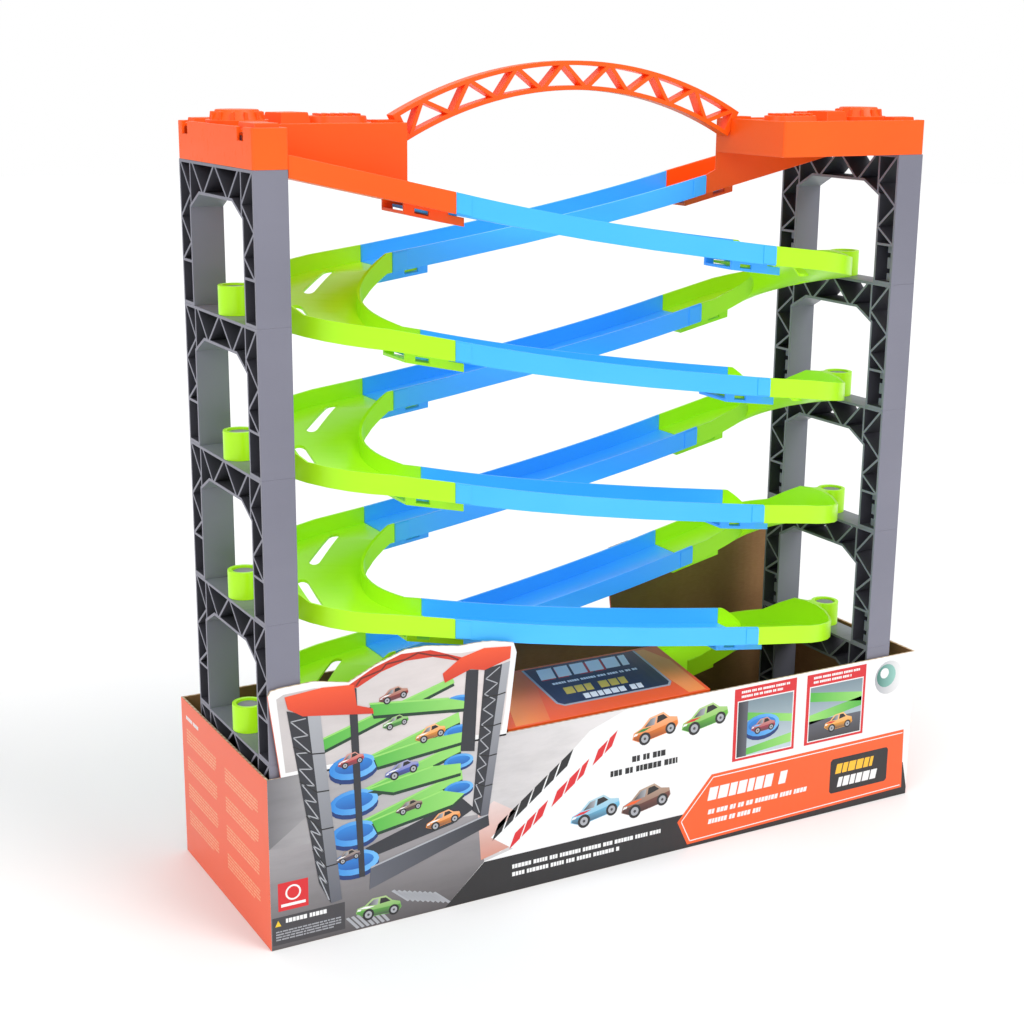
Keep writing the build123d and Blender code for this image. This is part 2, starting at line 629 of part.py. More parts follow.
for label, (car_x, car_y, nose) in CARS.items():
    spot = Plane(origin=(car_x, car_y, CAR_Z), x_dir=(nose, 0, 0), z_dir=(0, 0, 1))
    place(f"{label}_body", car_body.part, spot)
    place(f"{label}_windows", car_cabin.part, spot)
    place(f"{label}_chassis", car_chassis.part, spot)
    for end, x in (("front", WHEELBASE / 2), ("rear", -WHEELBASE / 2)):
        with BuildPart() as axle:
            with BuildSketch(side_plane(CAR_W / 2 - 2)):
                with Locations((x, WHEEL_R)):
                    Circle(AXLE_R)
            extrude(amount=CAR_W - 4)
        place(f"{label}_{end}_axle", axle.part, spot)
        with BuildPart() as wheels:
            for low in (-CAR_W / 2 + 0.5, CAR_W / 2 - 0.5 - WHEEL_W):
                with BuildSketch(side_plane(low + WHEEL_W)):
                    with Locations((x, WHEEL_R)):
                        Circle(WHEEL_R)
                        Circle(AXLE_R, mode=Mode.SUBTRACT)
                extrude(amount=WHEEL_W)
        place(f"{label}_{end}_wheels", wheels.part, spot)

# ---- cardboard display tray, with a display card standing up from its front and its back ----
POPUP = (  # outline of the front display card above the tray, in (x, z)
    (-200.5, TRAY_TOP - 1), (-206.5, 142.0), (-204.8, 144.7), (-199.5, 145.5), (-181.1, 146.1),
    (-161.9, 142.3), (-145.6, 149.8), (-129.6, 154.9), (-116.9, 155.0), (-96.9, 151.8),
    (-88.6, 152.1), (-77.8, 151.5), (-64.3, 148.6), (-62.4, 142.8), (-66.4, 110.3),
    (-68.5, TRAY_TOP - 1),
)
TRAY_MID = (TRAY_LEFT + TRAY_RIGHT) / 2

with BuildPart() as tray:
    block((TRAY_LEFT, TRAY_RIGHT), (TRAY_FRONT, TRAY_BACK), (0, TRAY_TOP))
    block((TRAY_LEFT + CARD, TRAY_RIGHT - CARD), (TRAY_FRONT + CARD, TRAY_BACK - CARD), (CARD, TRAY_TOP),
          mode=Mode.SUBTRACT)
    bar(POPUP, TRAY_FRONT, TRAY_FRONT + CARD)
    bar([(2 * TRAY_MID - x, z) for x, z in POPUP], TRAY_BACK - CARD, TRAY_BACK)

place("display_tray", tray.part, Plane.XY)

# ---- printed insert card: a sloping face that stands on two flaps inside the set ----
INSERT_X = (-65.7, 70.5)
INSERT_T = 0.8
INSERT_FRONT = (-52.6, 97.2)
INSERT_BACK = (6.0, 106.3)

with BuildPart() as insert:
    front_y, front_z = INSERT_FRONT
    back_y, back_z = INSERT_BACK
    floor = FOOT_Z + BASIN_T + 0.1
    with BuildSketch(Plane.YZ.offset(INSERT_X[0])):
        with BuildLine():
            Polyline(
                (front_y, FOOT_Z), (front_y, front_z), (back_y, back_z), (back_y, floor),
                (back_y - INSERT_T, floor), (back_y - INSERT_T, back_z - 1.2),
                (front_y + INSERT_T, front_z - 0.6), (front_y + INSERT_T, FOOT_Z), close=True,
            )
        make_face()
    extrude(amount=INSERT_X[1] - INSERT_X[0])

place("insert_card", insert.part, Plane.XY)
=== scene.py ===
# %% [markdown]
# # A downhill race-track set in its open display tray
#
# Two grey towers carry orange launch platforms, and two channels of blue tracks and green curves wind
# down between them into a grey basin. The whole set stands in a printed cardboard tray. The shapes that
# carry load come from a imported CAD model, which is loaded first and never changed. Everything below is
# built around it, in metres, with X to the right, Y to the back and Z up.

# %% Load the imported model
from math import atan2, cos, pi, radians, sin
from random import Random

import bmesh
import bpy
from mathutils import Matrix, Vector


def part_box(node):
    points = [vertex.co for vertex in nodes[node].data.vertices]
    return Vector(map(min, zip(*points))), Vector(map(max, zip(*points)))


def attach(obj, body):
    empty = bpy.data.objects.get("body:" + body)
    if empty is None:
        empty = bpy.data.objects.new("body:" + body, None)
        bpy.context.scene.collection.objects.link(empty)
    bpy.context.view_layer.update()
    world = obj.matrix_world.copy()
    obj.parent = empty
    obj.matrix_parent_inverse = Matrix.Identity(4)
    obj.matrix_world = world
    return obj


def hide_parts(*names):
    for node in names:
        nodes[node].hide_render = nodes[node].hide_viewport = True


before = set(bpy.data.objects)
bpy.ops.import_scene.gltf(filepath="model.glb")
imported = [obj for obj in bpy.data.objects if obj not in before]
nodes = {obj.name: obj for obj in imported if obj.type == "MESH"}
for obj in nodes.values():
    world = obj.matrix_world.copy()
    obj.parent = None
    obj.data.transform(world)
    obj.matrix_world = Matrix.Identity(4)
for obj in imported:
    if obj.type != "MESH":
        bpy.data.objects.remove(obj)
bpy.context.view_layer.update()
scene = bpy.context.scene
MM = 0.001

# %% [markdown]
# ## Camera
# The set is seen from its front left corner, a little from above, with a moderately long lens, so that
# the uprights stay nearly parallel. A camera looks along its own -Z axis, so it is first tipped up to
# look along Y, then turned about the vertical.

# %% Camera
eye = bpy.data.cameras.new("eye")
eye.lens = 60.67
eye.sensor_width = 36.0
viewer = bpy.data.objects.new("viewer", eye)
scene.collection.objects.link(viewer)
turn = Matrix.Rotation(radians(-29.04), 4, "Z")
tip = Matrix.Rotation(radians(90 - 14.76), 4, "X")
roll = Matrix.Rotation(radians(0.52), 4, "Z")
viewer.matrix_world = Matrix.Translation((-0.49703, -0.83205, 0.45596)) @ turn @ tip @ roll
scene.camera = viewer
print("camera at", tuple(round(value, 3) for value in viewer.matrix_world.translation))

# %% [markdown]
# ## Studio
# A pale floor and a white background keep the bright plastics clean. Four broad lights give soft edges
# to the shadows. They are sun lamps with a wide angle, because a sun lights the floor evenly out to the
# horizon, where an area light would fade. The key stands in front on the right, a weaker one on the
# left keeps the outer faces lively, one overhead lights the decks, and a faint one behind opens the
# shade under the back channel. The sky is white to look at but lights the set only weakly, so that deep
# recesses stay dark. The plain display transform keeps strong colours as strong as they are painted.

# %% Studio
scene.view_settings.view_transform = "Standard"
scene.view_settings.look = "None"
scene.view_settings.exposure = 0.0
sky = bpy.data.worlds.new("studio_sky")
sky.use_nodes = True
glow = sky.node_tree.nodes["Background"]
glow.inputs["Color"].default_value = (1.0, 1.0, 1.0, 1)
seen = sky.node_tree.nodes.new("ShaderNodeLightPath")
strength = sky.node_tree.nodes.new("ShaderNodeMapRange")
strength.inputs["To Min"].default_value = 0.47
strength.inputs["To Max"].default_value = 1.0
sky.node_tree.links.new(seen.outputs["Is Camera Ray"], strength.inputs["Value"])
sky.node_tree.links.new(strength.outputs["Result"], glow.inputs["Strength"])
scene.world = sky


def broad_light(name, azimuth, elevation, power, width):
    """Sun lamp that shines from this direction. Azimuth 0 is the front and 90 the right."""
    lamp = bpy.data.lights.new(name, "SUN")
    lamp.energy = power
    lamp.angle = radians(width)
    holder = bpy.data.objects.new(name, lamp)
    scene.collection.objects.link(holder)
    turned = Matrix.Rotation(radians(azimuth), 4, "Z") @ Matrix.Rotation(radians(90 - elevation), 4, "X")
    holder.matrix_world = turned


broad_light("key", 32, 42, 1.3, 30)
broad_light("left", -58, 30, 0.9, 40)
broad_light("top", 10, 80, 0.95, 60)
broad_light("back", 168, 38, 0.45, 60)

# %% [markdown]
# ## Writing materials as expressions
# Node trees are easier to read as sums and products. `Signal` wraps one output of a node, and its
# operators add Math nodes, so `1 - mask` or `cloud * 0.1 + 0.3` can be written as they are. `Finish` is
# one material, and its `node` method adds any other node: the type, the settings, then the sockets.


# %% Signal and Finish
class Signal:
    """One output of a node. Arithmetic on it adds Math nodes to the same material."""

    def __init__(self, finish, socket):
        self.finish = finish
        self.socket = socket

    def maths(self, operation, first, second):
        return self.finish.node("Math", {"operation": operation}, {0: first, 1: second})

    def __add__(self, other):
        return self.maths("ADD", self, other)

    def __sub__(self, other):
        return self.maths("SUBTRACT", self, other)

    def __rsub__(self, other):
        return self.maths("SUBTRACT", other, self)

    def __mul__(self, other):
        return self.maths("MULTIPLY", self, other)

    def __gt__(self, other):
        return self.maths("GREATER_THAN", self, other)

    def __lt__(self, other):
        return self.maths("LESS_THAN", self, other)

    __radd__ = __add__
    __rmul__ = __mul__


class Finish:
    """One material with a Principled surface."""

    def __init__(self, name):
        self.material = bpy.data.materials.new(name)
        self.material.use_nodes = True
        self.tree = self.material.node_tree
        self.surface = self.tree.nodes["Principled BSDF"]
        self.place = self.node("TexCoord", {}, {}, out="Object")

    def node(self, kind, settings, inputs, out=0):
        """Add a node, give it its settings, then fill its sockets with numbers or with signals."""
        made = self.tree.nodes.new("ShaderNode" + kind)
        for key, value in settings.items():
            if key == "stops":
                for element, (spot, shade) in zip(self.ramp_stops(made, len(value)), value):
                    element.position = spot
                    element.color = (shade, shade, shade, 1)
            else:
                setattr(made, key, value)
        self.fill(made, inputs)
        return Signal(self, made.outputs[out])

    def ramp_stops(self, made, count):
        """The stops of a colour ramp, as many as are wanted."""
        while len(made.color_ramp.elements) < count:
            made.color_ramp.elements.new(0.5)
        return made.color_ramp.elements

    def fill(self, made, inputs):
        """Fill a node's sockets, by name or by number."""
        for key, value in inputs.items():
            if isinstance(value, Signal):
                self.tree.links.new(value.socket, made.inputs[key])
            else:
                made.inputs[key].default_value = value

    def blend(self, share, first, second):
        """Colour between two colours."""
        return self.node("Mix", {"data_type": "RGBA"}, {0: share, 6: first, 7: second}, out=2)

    def stretched(self, x, y, z):
        """Object coordinates, scaled on each axis."""
        return self.node("Mapping", {}, {0: self.place, "Scale": (x, y, z)})

    def grain(self, scale, detail=3.0, rough=0.5, where=None):
        """Noise between 0 and 1. The scale is in features per metre."""
        sockets = {"Vector": where or self.place, "Scale": scale, "Detail": detail, "Roughness": rough}
        return self.node("TexNoise", {}, sockets, out="Fac")

    def ramp(self, value, *stops):
        """Grey ramp over a value, as (position, shade) stops."""
        return self.node("ValToRGB", {"stops": stops}, {0: value}, out=0)

    def bumped(self, height, strength, depth):
        """Normal from a height signal. The depth is in metres."""
        sockets = {"Height": height, "Strength": strength, "Distance": depth}
        return self.node("Bump", {}, sockets, out="Normal")


def tint(red, green, blue):
    """Colour given as screen values from 0 to 255, turned into the linear values that shaders use."""
    linear = []
    for value in (red, green, blue):
        share = value / 255
        linear.append(share / 12.92 if share <= 0.04045 else ((share + 0.055) / 1.055) ** 2.4)
    return (*linear, 1.0)


print("example tint:", [round(value, 3) for value in tint(255, 95, 20)])

# %% [markdown]
# ## Moulded plastics
# Every hard piece is injection moulded. A fresh moulding is never one flat colour: the plastic flows
# cloudily from its gate, cools into faint sink and flow lines, and picks up fine rubs in the box. So
# the colour drifts a little over a few centimetres, the gloss is broken by rubs that are long one way,
# and a shallow orange-peel bump bends the highlights. The bright walls are thin and let some light
# through. That light is not simulated: a faint emission of their own colour is painted in instead, a
# painted glow that lifts them in the shade.


# %% Moulded plastic finish
def moulded_plastic(name, colour, deep, gloss, coat, rub=1.0, painted_glow=0.0):
    """Injection-moulded plastic that drifts from its colour to a deeper one."""
    finish = Finish(name)
    drift = finish.ramp(finish.grain(11, 2.0), (0.3, 0.0), (0.75, 1.0))
    flow = finish.grain(40, 4.0, 0.6, finish.stretched(0.3, 1.0, 2.2))
    scratches = finish.grain(260, 5.0, 0.7, finish.stretched(0.12, 1.0, 0.8))
    rubs = finish.ramp(scratches, (0.56, 0.0), (0.74, 1.0))
    peel = finish.grain(620, 2.0)
    share = drift * 0.55 + flow * 0.25
    finish.fill(finish.surface, {
        "Base Color": finish.blend(share, colour, deep),
        "Roughness": flow * 0.10 + rubs * (0.16 * rub) + (gloss - 0.05),
        "Normal": finish.bumped(peel * 0.7 + rubs * -0.3, 0.10, 0.00012),
        "Coat Weight": coat,
        "Coat Roughness": 0.12,
        "IOR": 1.42,
        # Faint emission of the plastic's own colour: a painted glow that stands for light through thin walls.
        "Emission Color": colour,
        "Emission Strength": painted_glow,
    })
    return finish


tower_plastic = moulded_plastic("tower_grey_plastic", tint(130, 130, 144), tint(114, 114, 128), 0.36, 0.05)
# Darker, duller grey for the cell flanks. The darker colour is painted shade for the shadow inside the cells.
painted_shade_plastic = moulded_plastic("tower_painted_shade_plastic", tint(66, 66, 74), tint(54, 54, 62), 0.6, 0.0)
basin_plastic = moulded_plastic("basin_grey_plastic", tint(92, 93, 100), tint(70, 71, 78), 0.40, 0.05)
# The last number of each is its painted glow, an emission that stands for light through the thin walls.
orange_plastic = moulded_plastic("orange_plastic", tint(255, 98, 14), tint(254, 82, 6), 0.42, 0.0, 1.0, 0.05)
blue_plastic = moulded_plastic("blue_plastic", tint(74, 184, 255), tint(44, 168, 253), 0.32, 0.04, 1.0, 0.12)
green_plastic = moulded_plastic("green_plastic", tint(176, 238, 26), tint(158, 228, 14), 0.32, 0.04, 1.0, 0.16)
print("plastics:", [name for name in bpy.data.materials.keys() if name.endswith("plastic")])

# %% [markdown]
# ## Finishing the mouldings
# The CAD meshes have the right shape but perfectly sharp edges, which no mould can make and which
# catch no light. A copy of each one is merged into a closed surface, its flat faces are joined up, and
# a Bevel modifier rounds the outward edges by a fraction of a millimetre. Inward corners stay crisp, as
# in the mould, and so do the edges of faces that are narrower than the rounding. Rebuilding each truss
# by hand would give the same shape with more work, so the copy is the better way here. The copy then
# stands for its CAD node and rides on the same body.

# %% Merge, soften and publish
SHARP = radians(28)


def publish(name, shape, finishes, body, stands_for=()):
    """Turn a finished bmesh into a piece that rides on a body."""
    mesh = bpy.data.meshes.new(name)
    shape.to_mesh(mesh)
    shape.free()
    for spare in ("custom_normal", "UVMap"):
        if spare in mesh.attributes:
            mesh.attributes.remove(mesh.attributes[spare])
    piece = bpy.data.objects.new(name, mesh)
    scene.collection.objects.link(piece)
    for finish in finishes:
        mesh.materials.append(finish.material)
    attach(piece, body)
    if stands_for:
        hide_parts(*stands_for)
    return piece


def merged_copy(node_name):
    """Closed bmesh of a CAD node, with its flat faces joined."""
    shape = bmesh.new()
    shape.from_mesh(nodes[node_name].data)
    bmesh.ops.remove_doubles(shape, verts=shape.verts, dist=0.003 * MM)
    bmesh.ops.dissolve_limit(shape, angle_limit=radians(0.6), verts=shape.verts, edges=shape.edges)
    for face in shape.faces:
        face.material_index = 0
    return shape


def face_width(face):
    """Width of a long face."""
    return face.calc_area() / max(edge.calc_length() for edge in face.edges)


def smooth_but_sharp(shape, narrowest=0.0):
    """Smooth shading, with the real edges marked sharp and the outward ones marked for rounding."""
    rounding = shape.edges.layers.float.new("bevel_weight_edge")
    for face in shape.faces:
        face.smooth = True
    for edge in shape.edges:
        edge.smooth = len(edge.link_faces) == 2 and edge.calc_face_angle(pi) < SHARP
        outward = len(edge.link_faces) == 2 and not edge.smooth and edge.is_convex
        if outward and all(face_width(face) >= narrowest * MM for face in edge.link_faces):
            edge[rounding] = 1.0


def soften(piece, width, segments=2):
    """Round the marked edges of a piece."""
    bevel = piece.modifiers.new("edge", "BEVEL")
    bevel.width = width * MM
    bevel.segments = segments
    bevel.limit_method = "WEIGHT"
    bevel.use_clamp_overlap = False
    bevel.harden_normals = True
    return piece


def moulding(node_name, finish, edge, body="track_set", recess=None, recessed=None,
             narrowest=0.0):
    """Finished moulding that stands for a CAD node. Recessed faces may get a darker, painted-shade finish."""
    shape = merged_copy(node_name)
    smooth_but_sharp(shape, narrowest)
    finishes = [finish]
    if recess:
        finishes.append(recess)
        for face in shape.faces:
            face.material_index = 1 if recessed(face) else 0
    piece = publish(node_name + "_moulding", shape, finishes, body, [node_name])
    return soften(piece, edge)


# %% [markdown]
# ## Towers
# Ten frames and two feet, all in the same satin grey. Their ribs are only a millimetre and a half
# wide, so the rounding stays small. The flanks of the open cells between the ribs get a darker, duller
# grey. The darker colour is painted shade, for the shadow that falls deep inside the cells, while the
# skin outside keeps the plain grey and shines. A flank is any face that runs through the tower's
# thickness and doesn't lie on the frame's outline.

# %% Tower frames and feet
OUTER_Y = 53.85
WINDOW_Y = 37.8
BEAM_Z = 58.5
CHAMFER = Vector((13.8, -7.5))


def cell_flank(frame_floor):
    """Test for the flanks of a frame's open cells, where shade is painted, given the height the frame stands
    on.
    """
    def recessed(face):
        spot = face.calc_center_median() / MM
        y, z = abs(spot.y), spot.z - frame_floor
        if abs(face.normal.x) > 0.3 or not 0.2 < z < 74.8 or y > OUTER_Y - 0.2:
            return False
        cut = Vector((y - 24.0, z - BEAM_Z)).cross(CHAMFER.normalized())
        window = abs(y - WINDOW_Y) < 0.2 and z < 51.2 or abs(z - BEAM_Z) < 0.2 and y < 24.2
        return not window and not (abs(cut) < 0.3 and 24 < y < WINDOW_Y)
    return recessed


for tower in ("left", "right"):
    for number in range(1, 6):
        node_name = f"{tower}_tower_frame_{number}"
        stands_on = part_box(node_name)[0].z / MM + 2.9
        # The cell flanks get the darker grey, which is painted shade for the shadow inside the truss cells.
        moulding(node_name, tower_plastic, 0.18, "track_set", painted_shade_plastic,
                 cell_flank(stands_on))
    moulding(f"{tower}_tower_foot", tower_plastic, 0.4)
    moulding(f"{tower}_basin", basin_plastic, 0.4)

# %% [markdown]
# ## Launch platforms and arch
# The orange pieces are glossier and have thicker walls, so their edges are rounder.

# %% Launch platforms and arch
for tower in ("left", "right"):
    moulding(f"{tower}_launch_platform", orange_plastic, 0.35)
moulding("truss_arch", orange_plastic, 0.3)

# %% [markdown]
# ## Tracks and curves
# Eight blue straight tracks and eight green U-turns make the two channels.

# %% Tracks and curves
for level in range(1, 5):
    for lane in ("front", "back"):
        moulding(f"{lane}_track_{level}", blue_plastic, 0.25)
    for tower in ("left", "right"):
        moulding(f"{tower}_curve_{level}", green_plastic, 0.25, narrowest=0.55)

# %% [markdown]
# ## Printed card
# The tray is corrugated card: a white printed sheet outside, brown kraft inside, and the fluting
# between them shows where it is cut. The printed sheet is varnished, and the flutes press through it
# as faint upright waves. The colours of the print are stored on the mesh, as a colour on each corner
# named "ink", so one finish serves the whole print.


# %% Card finishes
def ink_print():
    """Varnished print that takes its colour from the mesh."""
    finish = Finish("ink_print")
    ink = finish.node("Attribute", {"attribute_name": "ink"}, {}, out="Color")
    amount = finish.node("Attribute", {"attribute_name": "ink"}, {}, out="Alpha")
    streak = finish.grain(95, 3.0, 0.6, finish.stretched(0.35, 1.0, 1.6))
    dots = finish.grain(2400, 1.0)
    worn = (streak - 0.5) * amount * 0.9 + dots * 0.06
    flute = finish.node("TexWave", {"wave_type": "BANDS", "bands_direction": "X"},
                        {"Scale": 60.0, "Distortion": 1.2, "Detail": 1.0, "Vector": finish.place}, out="Fac")
    warp = finish.grain(18, 2.0)
    finish.fill(finish.surface, {
        "Base Color": finish.blend(worn + 0.0, ink, (0.03, 0.03, 0.035, 1)),
        "Roughness": warp * 0.08 + dots * 0.06 + 0.28,
        "Normal": finish.bumped(flute * 0.25 + warp * 2.5, 0.22, 0.0004),
        "Coat Weight": 0.15,
        "Coat Roughness": 0.2,
    })
    return finish


def kraft_board():
    """Brown unprinted card with its fibres."""
    finish = Finish("kraft_board")
    fibres = finish.grain(900, 6.0, 0.75, finish.stretched(0.25, 0.25, 1.0))
    mottle = finish.grain(60, 3.0)
    flute = finish.node("TexWave", {"wave_type": "BANDS", "bands_direction": "X"},
                        {"Scale": 60.0, "Distortion": 1.0, "Vector": finish.place}, out="Fac")
    finish.fill(finish.surface, {
        "Base Color": finish.blend(fibres * 0.6 + mottle * 0.4, tint(172, 128, 84), tint(120, 82, 46)),
        "Roughness": fibres * 0.1 + 0.78,
        "Normal": finish.bumped(fibres * 0.3 + flute * 0.5, 0.35, 0.0003),
    })
    return finish


def cut_board():
    """Cut edge of corrugated card: two liners with the waving flute between them."""
    finish = Finish("cut_board")
    fibres = finish.grain(1500, 4.0, 0.7)
    flute = finish.node("TexWave", {"wave_type": "BANDS", "bands_direction": "DIAGONAL"},
                        {"Scale": 130.0, "Distortion": 2.0, "Vector": finish.place}, out="Fac")
    finish.fill(finish.surface, {
        "Base Color": finish.blend(flute * 0.55 + fibres * 0.4, tint(226, 208, 180), tint(150, 112, 70)),
        "Roughness": 0.85,
        "Normal": finish.bumped(flute, 0.5, 0.0004),
    })
    return finish


print_finish = ink_print()
kraft_finish = kraft_board()
cut_finish = cut_board()

# %% [markdown]
# ## The tray's walls
# The tray is a copy of its CAD node too, because card has no shape of its own beyond the folded box.
# Its faces are sorted by where they look: outside faces are printed, inside ones are kraft, and the
# top edges are cut card. The upright folds are rounder than a cut edge, so their edges carry the full
# weight of the Bevel modifier and the cut edges only a quarter of it.

# %% Tray walls
tray_low, tray_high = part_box("display_tray")
CARD = 1.5 * MM
tray_shape = merged_copy("display_tray")
INK = tray_shape.loops.layers.float_color.new("ink")
PAPER = tint(240, 240, 240)
SIDE_ORANGE = tint(248, 88, 26)


def at(value, limit):
    """True where a coordinate lies on a limit."""
    return abs(value - limit) < 0.02 * MM


corner_folds = [
    edge for edge in tray_shape.edges
    if all(
        (at(end.co.x, tray_low.x) or at(end.co.x, tray_high.x))
        and (at(end.co.y, tray_low.y) or at(end.co.y, tray_high.y))
        for end in edge.verts
    )
]
for face in tray_shape.faces:
    spot = face.calc_center_median()
    facing = face.normal
    outside = (
        spot.x < tray_low.x + CARD * 0.9 or spot.x > tray_high.x - CARD * 0.9
        or spot.y < tray_low.y + CARD * 0.9 or spot.y > tray_high.y - CARD * 0.9
    )
    if abs(facing.z) > 0.5 or not outside:
        face.material_index = 2 if facing.z > 0.5 and spot.z > 0.02 else 1
    else:
        face.material_index = 0
    colour = SIDE_ORANGE if abs(facing.x) > 0.6 else PAPER
    for corner in face.loops:
        corner[INK] = (*colour[:3], 0.0)
smooth_but_sharp(tray_shape)
rounding = tray_shape.edges.layers.float["bevel_weight_edge"]
for edge in tray_shape.edges:
    edge[rounding] *= 1.0 if edge in corner_folds else 0.25
fold_count = len(corner_folds)
tray = publish("tray_board", tray_shape, [print_finish, kraft_finish, cut_finish], "tray",
               ["display_tray"])
soften(tray, 1.2, 3)
print("tray walls:", len(tray.data.polygons), "faces,", fold_count, "folds rounded")

# %% [markdown]
# ## A kit for the print
# A printed picture is built like a screen print: flat areas of ink, each over the one before. Every
# area starts as a few corners, becomes one face, and is extruded by a few hundredths of a millimetre,
# so that the layers never lie in the same plane. A sheet is drawn flat, facing -Y, and is then turned
# onto its panel. No words are printed: rows of short bars stand where a box has its small print.

# %% Print kit
LAYER = 0.022 * MM
SUNK = 0.02 * MM


def new_sheet():
    """Empty print sheet with its colour layer."""
    sheet = bmesh.new()
    sheet.loops.layers.float_color.new("ink")
    return sheet


def raise_ink(sheet, face, level, colour, fade=None, streak=0.0):
    """Give a flat face its thickness and its colour, which may fade to a second one along x or z."""
    ink = sheet.loops.layers.float_color["ink"]
    grown = bmesh.ops.extrude_face_region(sheet, geom=[face])["geom"]
    raised = [item for item in grown if isinstance(item, bmesh.types.BMVert)]
    bmesh.ops.translate(sheet, verts=raised, vec=(0, -level * LAYER - SUNK, 0))
    second, axis = fade or (colour, 0)
    reach = [vert.co[axis] for vert in raised]
    low, span = min(reach), max(max(reach) - min(reach), MM)
    for side in {face for vert in raised for face in vert.link_faces}:
        for corner in side.loops:
            share = (corner.vert.co[axis] - low) / span
            mixed = [first + (last - first) * share for first, last in zip(colour[:3], second[:3])]
            corner[ink] = (*mixed, streak)


def patch(sheet, outline, level, colour, fade=None, streak=0.0):
    """Area of ink with this outline, in (x, z) millimetres."""
    corners = [sheet.verts.new((x * MM, SUNK, z * MM)) for x, z in outline]
    raise_ink(sheet, sheet.faces.new(corners), level, colour, fade, streak)


def disc(sheet, x, z, radius, level, colour, fade=None):
    """Round spot of ink."""
    spot = Matrix.Translation((x * MM, SUNK, z * MM)) @ Matrix.Rotation(radians(90), 4, "X")
    ring = bmesh.ops.create_circle(sheet, cap_ends=True, segments=20, radius=radius * MM, matrix=spot)
    raise_ink(sheet, ring["verts"][0].link_faces[0], level, colour, fade)


def box(sheet, low_x, high_x, low_z, high_z, level, colour, slant=0.0, fade=None):
    """Rectangle of ink, which may lean over like an italic."""
    lean = (high_z - low_z) * slant
    outline = [(low_x, low_z), (high_x, low_z), (high_x + lean, high_z), (low_x + lean, high_z)]
    patch(sheet, outline, level, colour, fade)


def ribbon(sheet, points, width, level, colour):
    """Line of ink through these points."""
    for start, end in zip(points, points[1:]):
        along = Vector((end[0] - start[0], end[1] - start[1]))
        side = Vector((-along.y, along.x)).normalized() * width / 2
        patch(sheet, [
            (start[0] - side.x, start[1] - side.y), (end[0] - side.x, end[1] - side.y),
            (end[0] + side.x, end[1] + side.y), (start[0] + side.x, start[1] + side.y),
        ], level, colour)


def zigzag(sheet, first, last, bays, width, level, colour):
    """Truss line that swings between two edges, each given by its two ends."""
    points = []
    for bay in range(bays + 1):
        edge = first if bay % 2 else last
        share = bay / bays
        points.append(tuple(edge[0][axis] + (edge[1][axis] - edge[0][axis]) * share for axis in (0, 1)))
    ribbon(sheet, points, width, level, colour)


def small_print(sheet, x, top, length, height, rows, level, colour, seed, slope=0.0, slant=0.0):
    """Rows of short blocks, in groups, that stand for words nobody needs to read."""
    luck = Random(seed)
    for row in range(rows):
        low = top - (row * 1.9 + 1) * height
        reach = x
        limit = x + length * (1 if row < rows - 1 else luck.uniform(0.7, 1.0))
        while reach < limit - height * 0.5:
            for _ in range(luck.randint(2, 7)):
                wide = min(luck.uniform(0.5, 0.85) * height, limit - reach)
                if wide < height * 0.3:
                    break
                rise = (reach - x) * slope
                outline = [
                    (reach, low + rise), (reach + wide, low + rise + wide * slope),
                    (reach + wide + height * slant, low + height + rise + wide * slope),
                    (reach + height * slant, low + height + rise),
                ]
                patch(sheet, outline, level, colour)
                reach += wide + height * 0.14
            reach += height * 0.5


def publish_print(name, sheet, placing, body):
    """Turn a finished sheet onto its panel."""
    bmesh.ops.transform(sheet, matrix=placing, verts=sheet.verts)
    bmesh.ops.recalc_face_normals(sheet, faces=sheet.faces)
    piece = publish(name, sheet, [print_finish], body)
    print(name, len(piece.data.polygons), "faces of ink")
    return piece


WHITE = tint(238, 238, 238)
CREAM = tint(255, 240, 210)
BLACK = tint(28, 26, 28)
RED = tint(214, 30, 38)
ORANGE = tint(246, 92, 26)
DARK = tint(62, 60, 64)
SILVER = tint(168, 170, 176)
NAVY = tint(26, 34, 66)

# %% [markdown]
# ## Little printed cars
# Four cars are printed on the front. Each is the same drawing in a unit square, seen a little from
# above: body, glass, highlight, two wheels with bright rims, and a stripe. Only colours and places
# change, so it is one function.

# %% Printed car
CAR_BODY = ((0.0, 0.3), (0.03, 0.52), (0.2, 0.62), (0.36, 0.9), (0.66, 0.96), (0.8, 0.72), (0.97, 0.62),
            (1.0, 0.36), (0.92, 0.16), (0.2, 0.08))
CAR_SIDE = ((0.02, 0.3), (0.04, 0.42), (0.4, 0.4), (0.98, 0.5), (0.98, 0.36), (0.92, 0.18), (0.2, 0.1))
CAR_GLASS = ((0.25, 0.61), (0.39, 0.85), (0.5, 0.87), (0.47, 0.6))
CAR_SIDE_GLASS = ((0.52, 0.62), (0.54, 0.87), (0.66, 0.88), (0.76, 0.7))
CAR_STRIPE = ((0.05, 0.5), (0.2, 0.58), (0.42, 0.56), (0.26, 0.48))
CAR_LIGHT = ((0.02, 0.4), (0.05, 0.48), (0.12, 0.47), (0.1, 0.4))


